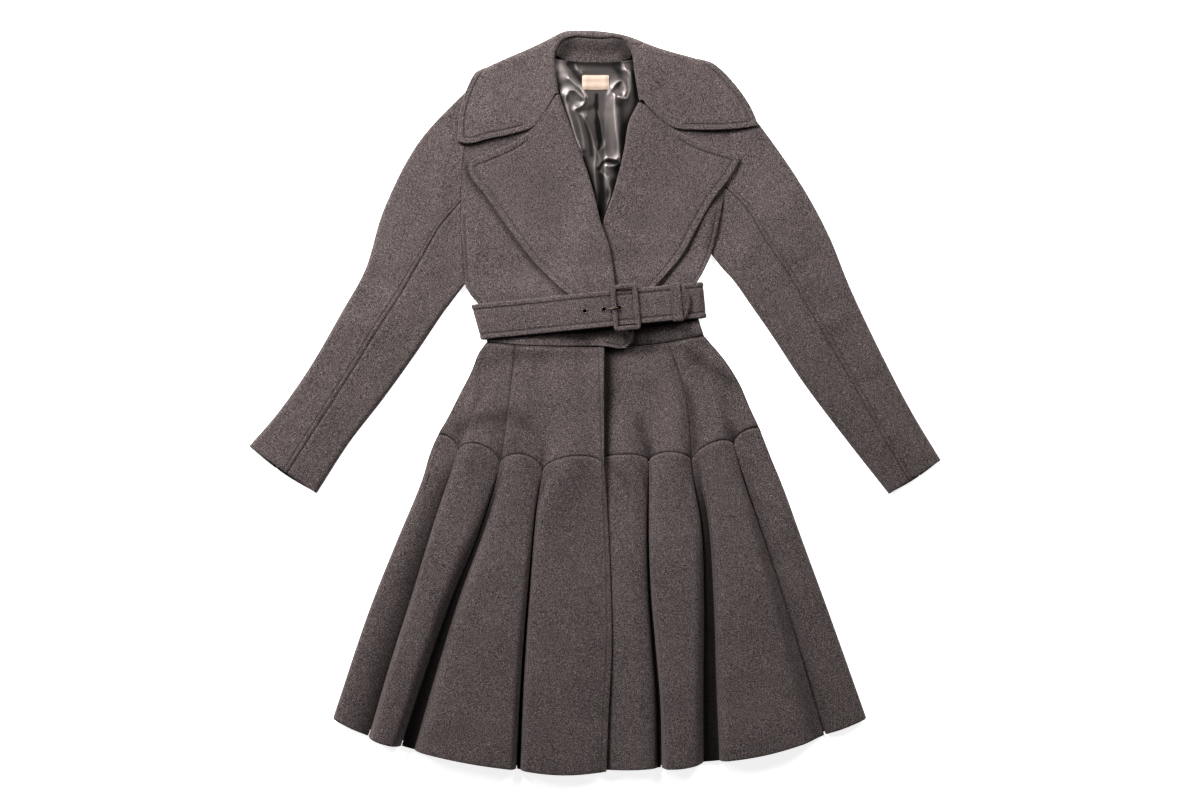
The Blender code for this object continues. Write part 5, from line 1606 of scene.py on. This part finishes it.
def makeKeeper():
    out = wool["strap"] / 2 + keeper["room"] + keeper["wall"] / 2
    over = float(strapHeight(keeper["along"])) + out
    under = strapUnder[1].height - out
    offsets = np.linspace(-keeper["width"] / 2, keeper["width"] / 2, 11)
    rows = []
    box = roundedBox(belt["width"] / 2 + keeper["beside"], (over - under) / 2, keeper["corner"], 6, 14)
    for place, _ in box:
        z = (over + under) / 2 + place[1] + keeper["tilt"] * offsets
        rows.append(stack(beltPlace(keeper["along"] + offsets, place[0] + 0 * offsets), z))
    clothPiece("belt_keeper", np.array(rows), keeper["wall"], loop=True,
               edges={side: ("free",) for side in sideNames})


makeBack()
makeFronts()
makeWaistbands()
makeSkirt()
makeSleeves()
makeCollar()
makeNeck()
makeStrap()
makeBuckle()
makeEyelets()
makeKeeper()
print("belt made")

# Floor, light and camera: straight above, as in the photo
studio = {"pixel": 1.45, "width": 1200, "centre": (8.0, 2.9), "lens": 85.0, "sensor": 36.0, "room": 0.02,
          "floorGlow": 0.75, "floorSize": 40.0, "floorDrop": 0.0005, "aim": (0, 0.25, 0)}
Softbox = namedtuple("Softbox", "name place size power")
softboxes = [Softbox("left", (-1.2, 1.75, 1.5), 0.8, 104), Softbox("right", (1.4, 1.5, 1.5), 1.0, 36),
             Softbox("side", (-1.5, 0.5, 1.2), 0.5, 10)]


def makeStudio():
    finish = Finish("pale_floor")
    tone = finish.mix(finish.grain(3.0), (0.93, 0.93, 0.93, 1), (0.96, 0.96, 0.96, 1))
    bpy.ops.mesh.primitive_plane_add(size=studio["floorSize"], location=(0, 0, -studio["floorDrop"]))
    floor = bpy.context.object
    floor.name = "floor"
    floor.data.materials.append(finish.use(Base_Color=tone, Roughness=0.9, Emission_Color=tone,
                                           Emission_Strength=studio["floorGlow"]))
    view = bpy.data.cameras.new("camera")
    view.lens = studio["lens"]
    view.sensor_width = studio["sensor"]
    span = studio["pixel"] * studio["width"] * mm
    camera = bpy.data.objects.new("camera", view)
    x, y = studio["centre"]
    camera.location = (x * mm, y * mm, span * studio["lens"] / studio["sensor"])
    bpy.context.scene.collection.objects.link(camera)
    bpy.context.scene.camera = camera
    for box in softboxes:
        lamp = bpy.data.lights.new(box.name, "AREA")
        lamp.size = box.size
        lamp.energy = box.power
        light = bpy.data.objects.new(box.name, lamp)
        light.location = box.place
        aim = Vector(studio["aim"]) - light.location
        light.rotation_euler = aim.to_track_quat("-Z", "Y").to_euler()
        bpy.context.scene.collection.objects.link(light)
    world = bpy.data.worlds.new("soft_room")
    world.use_nodes = True
    world.node_tree.nodes["Background"].inputs["Color"].default_value = (1, 1, 1, 1)
    world.node_tree.nodes["Background"].inputs["Strength"].default_value = studio["room"]
    bpy.context.scene.world = world
    bpy.context.scene.view_settings.view_transform = "Standard"
    bpy.context.scene.view_settings.look = "Medium High Contrast"
    print("studio made")


makeStudio()
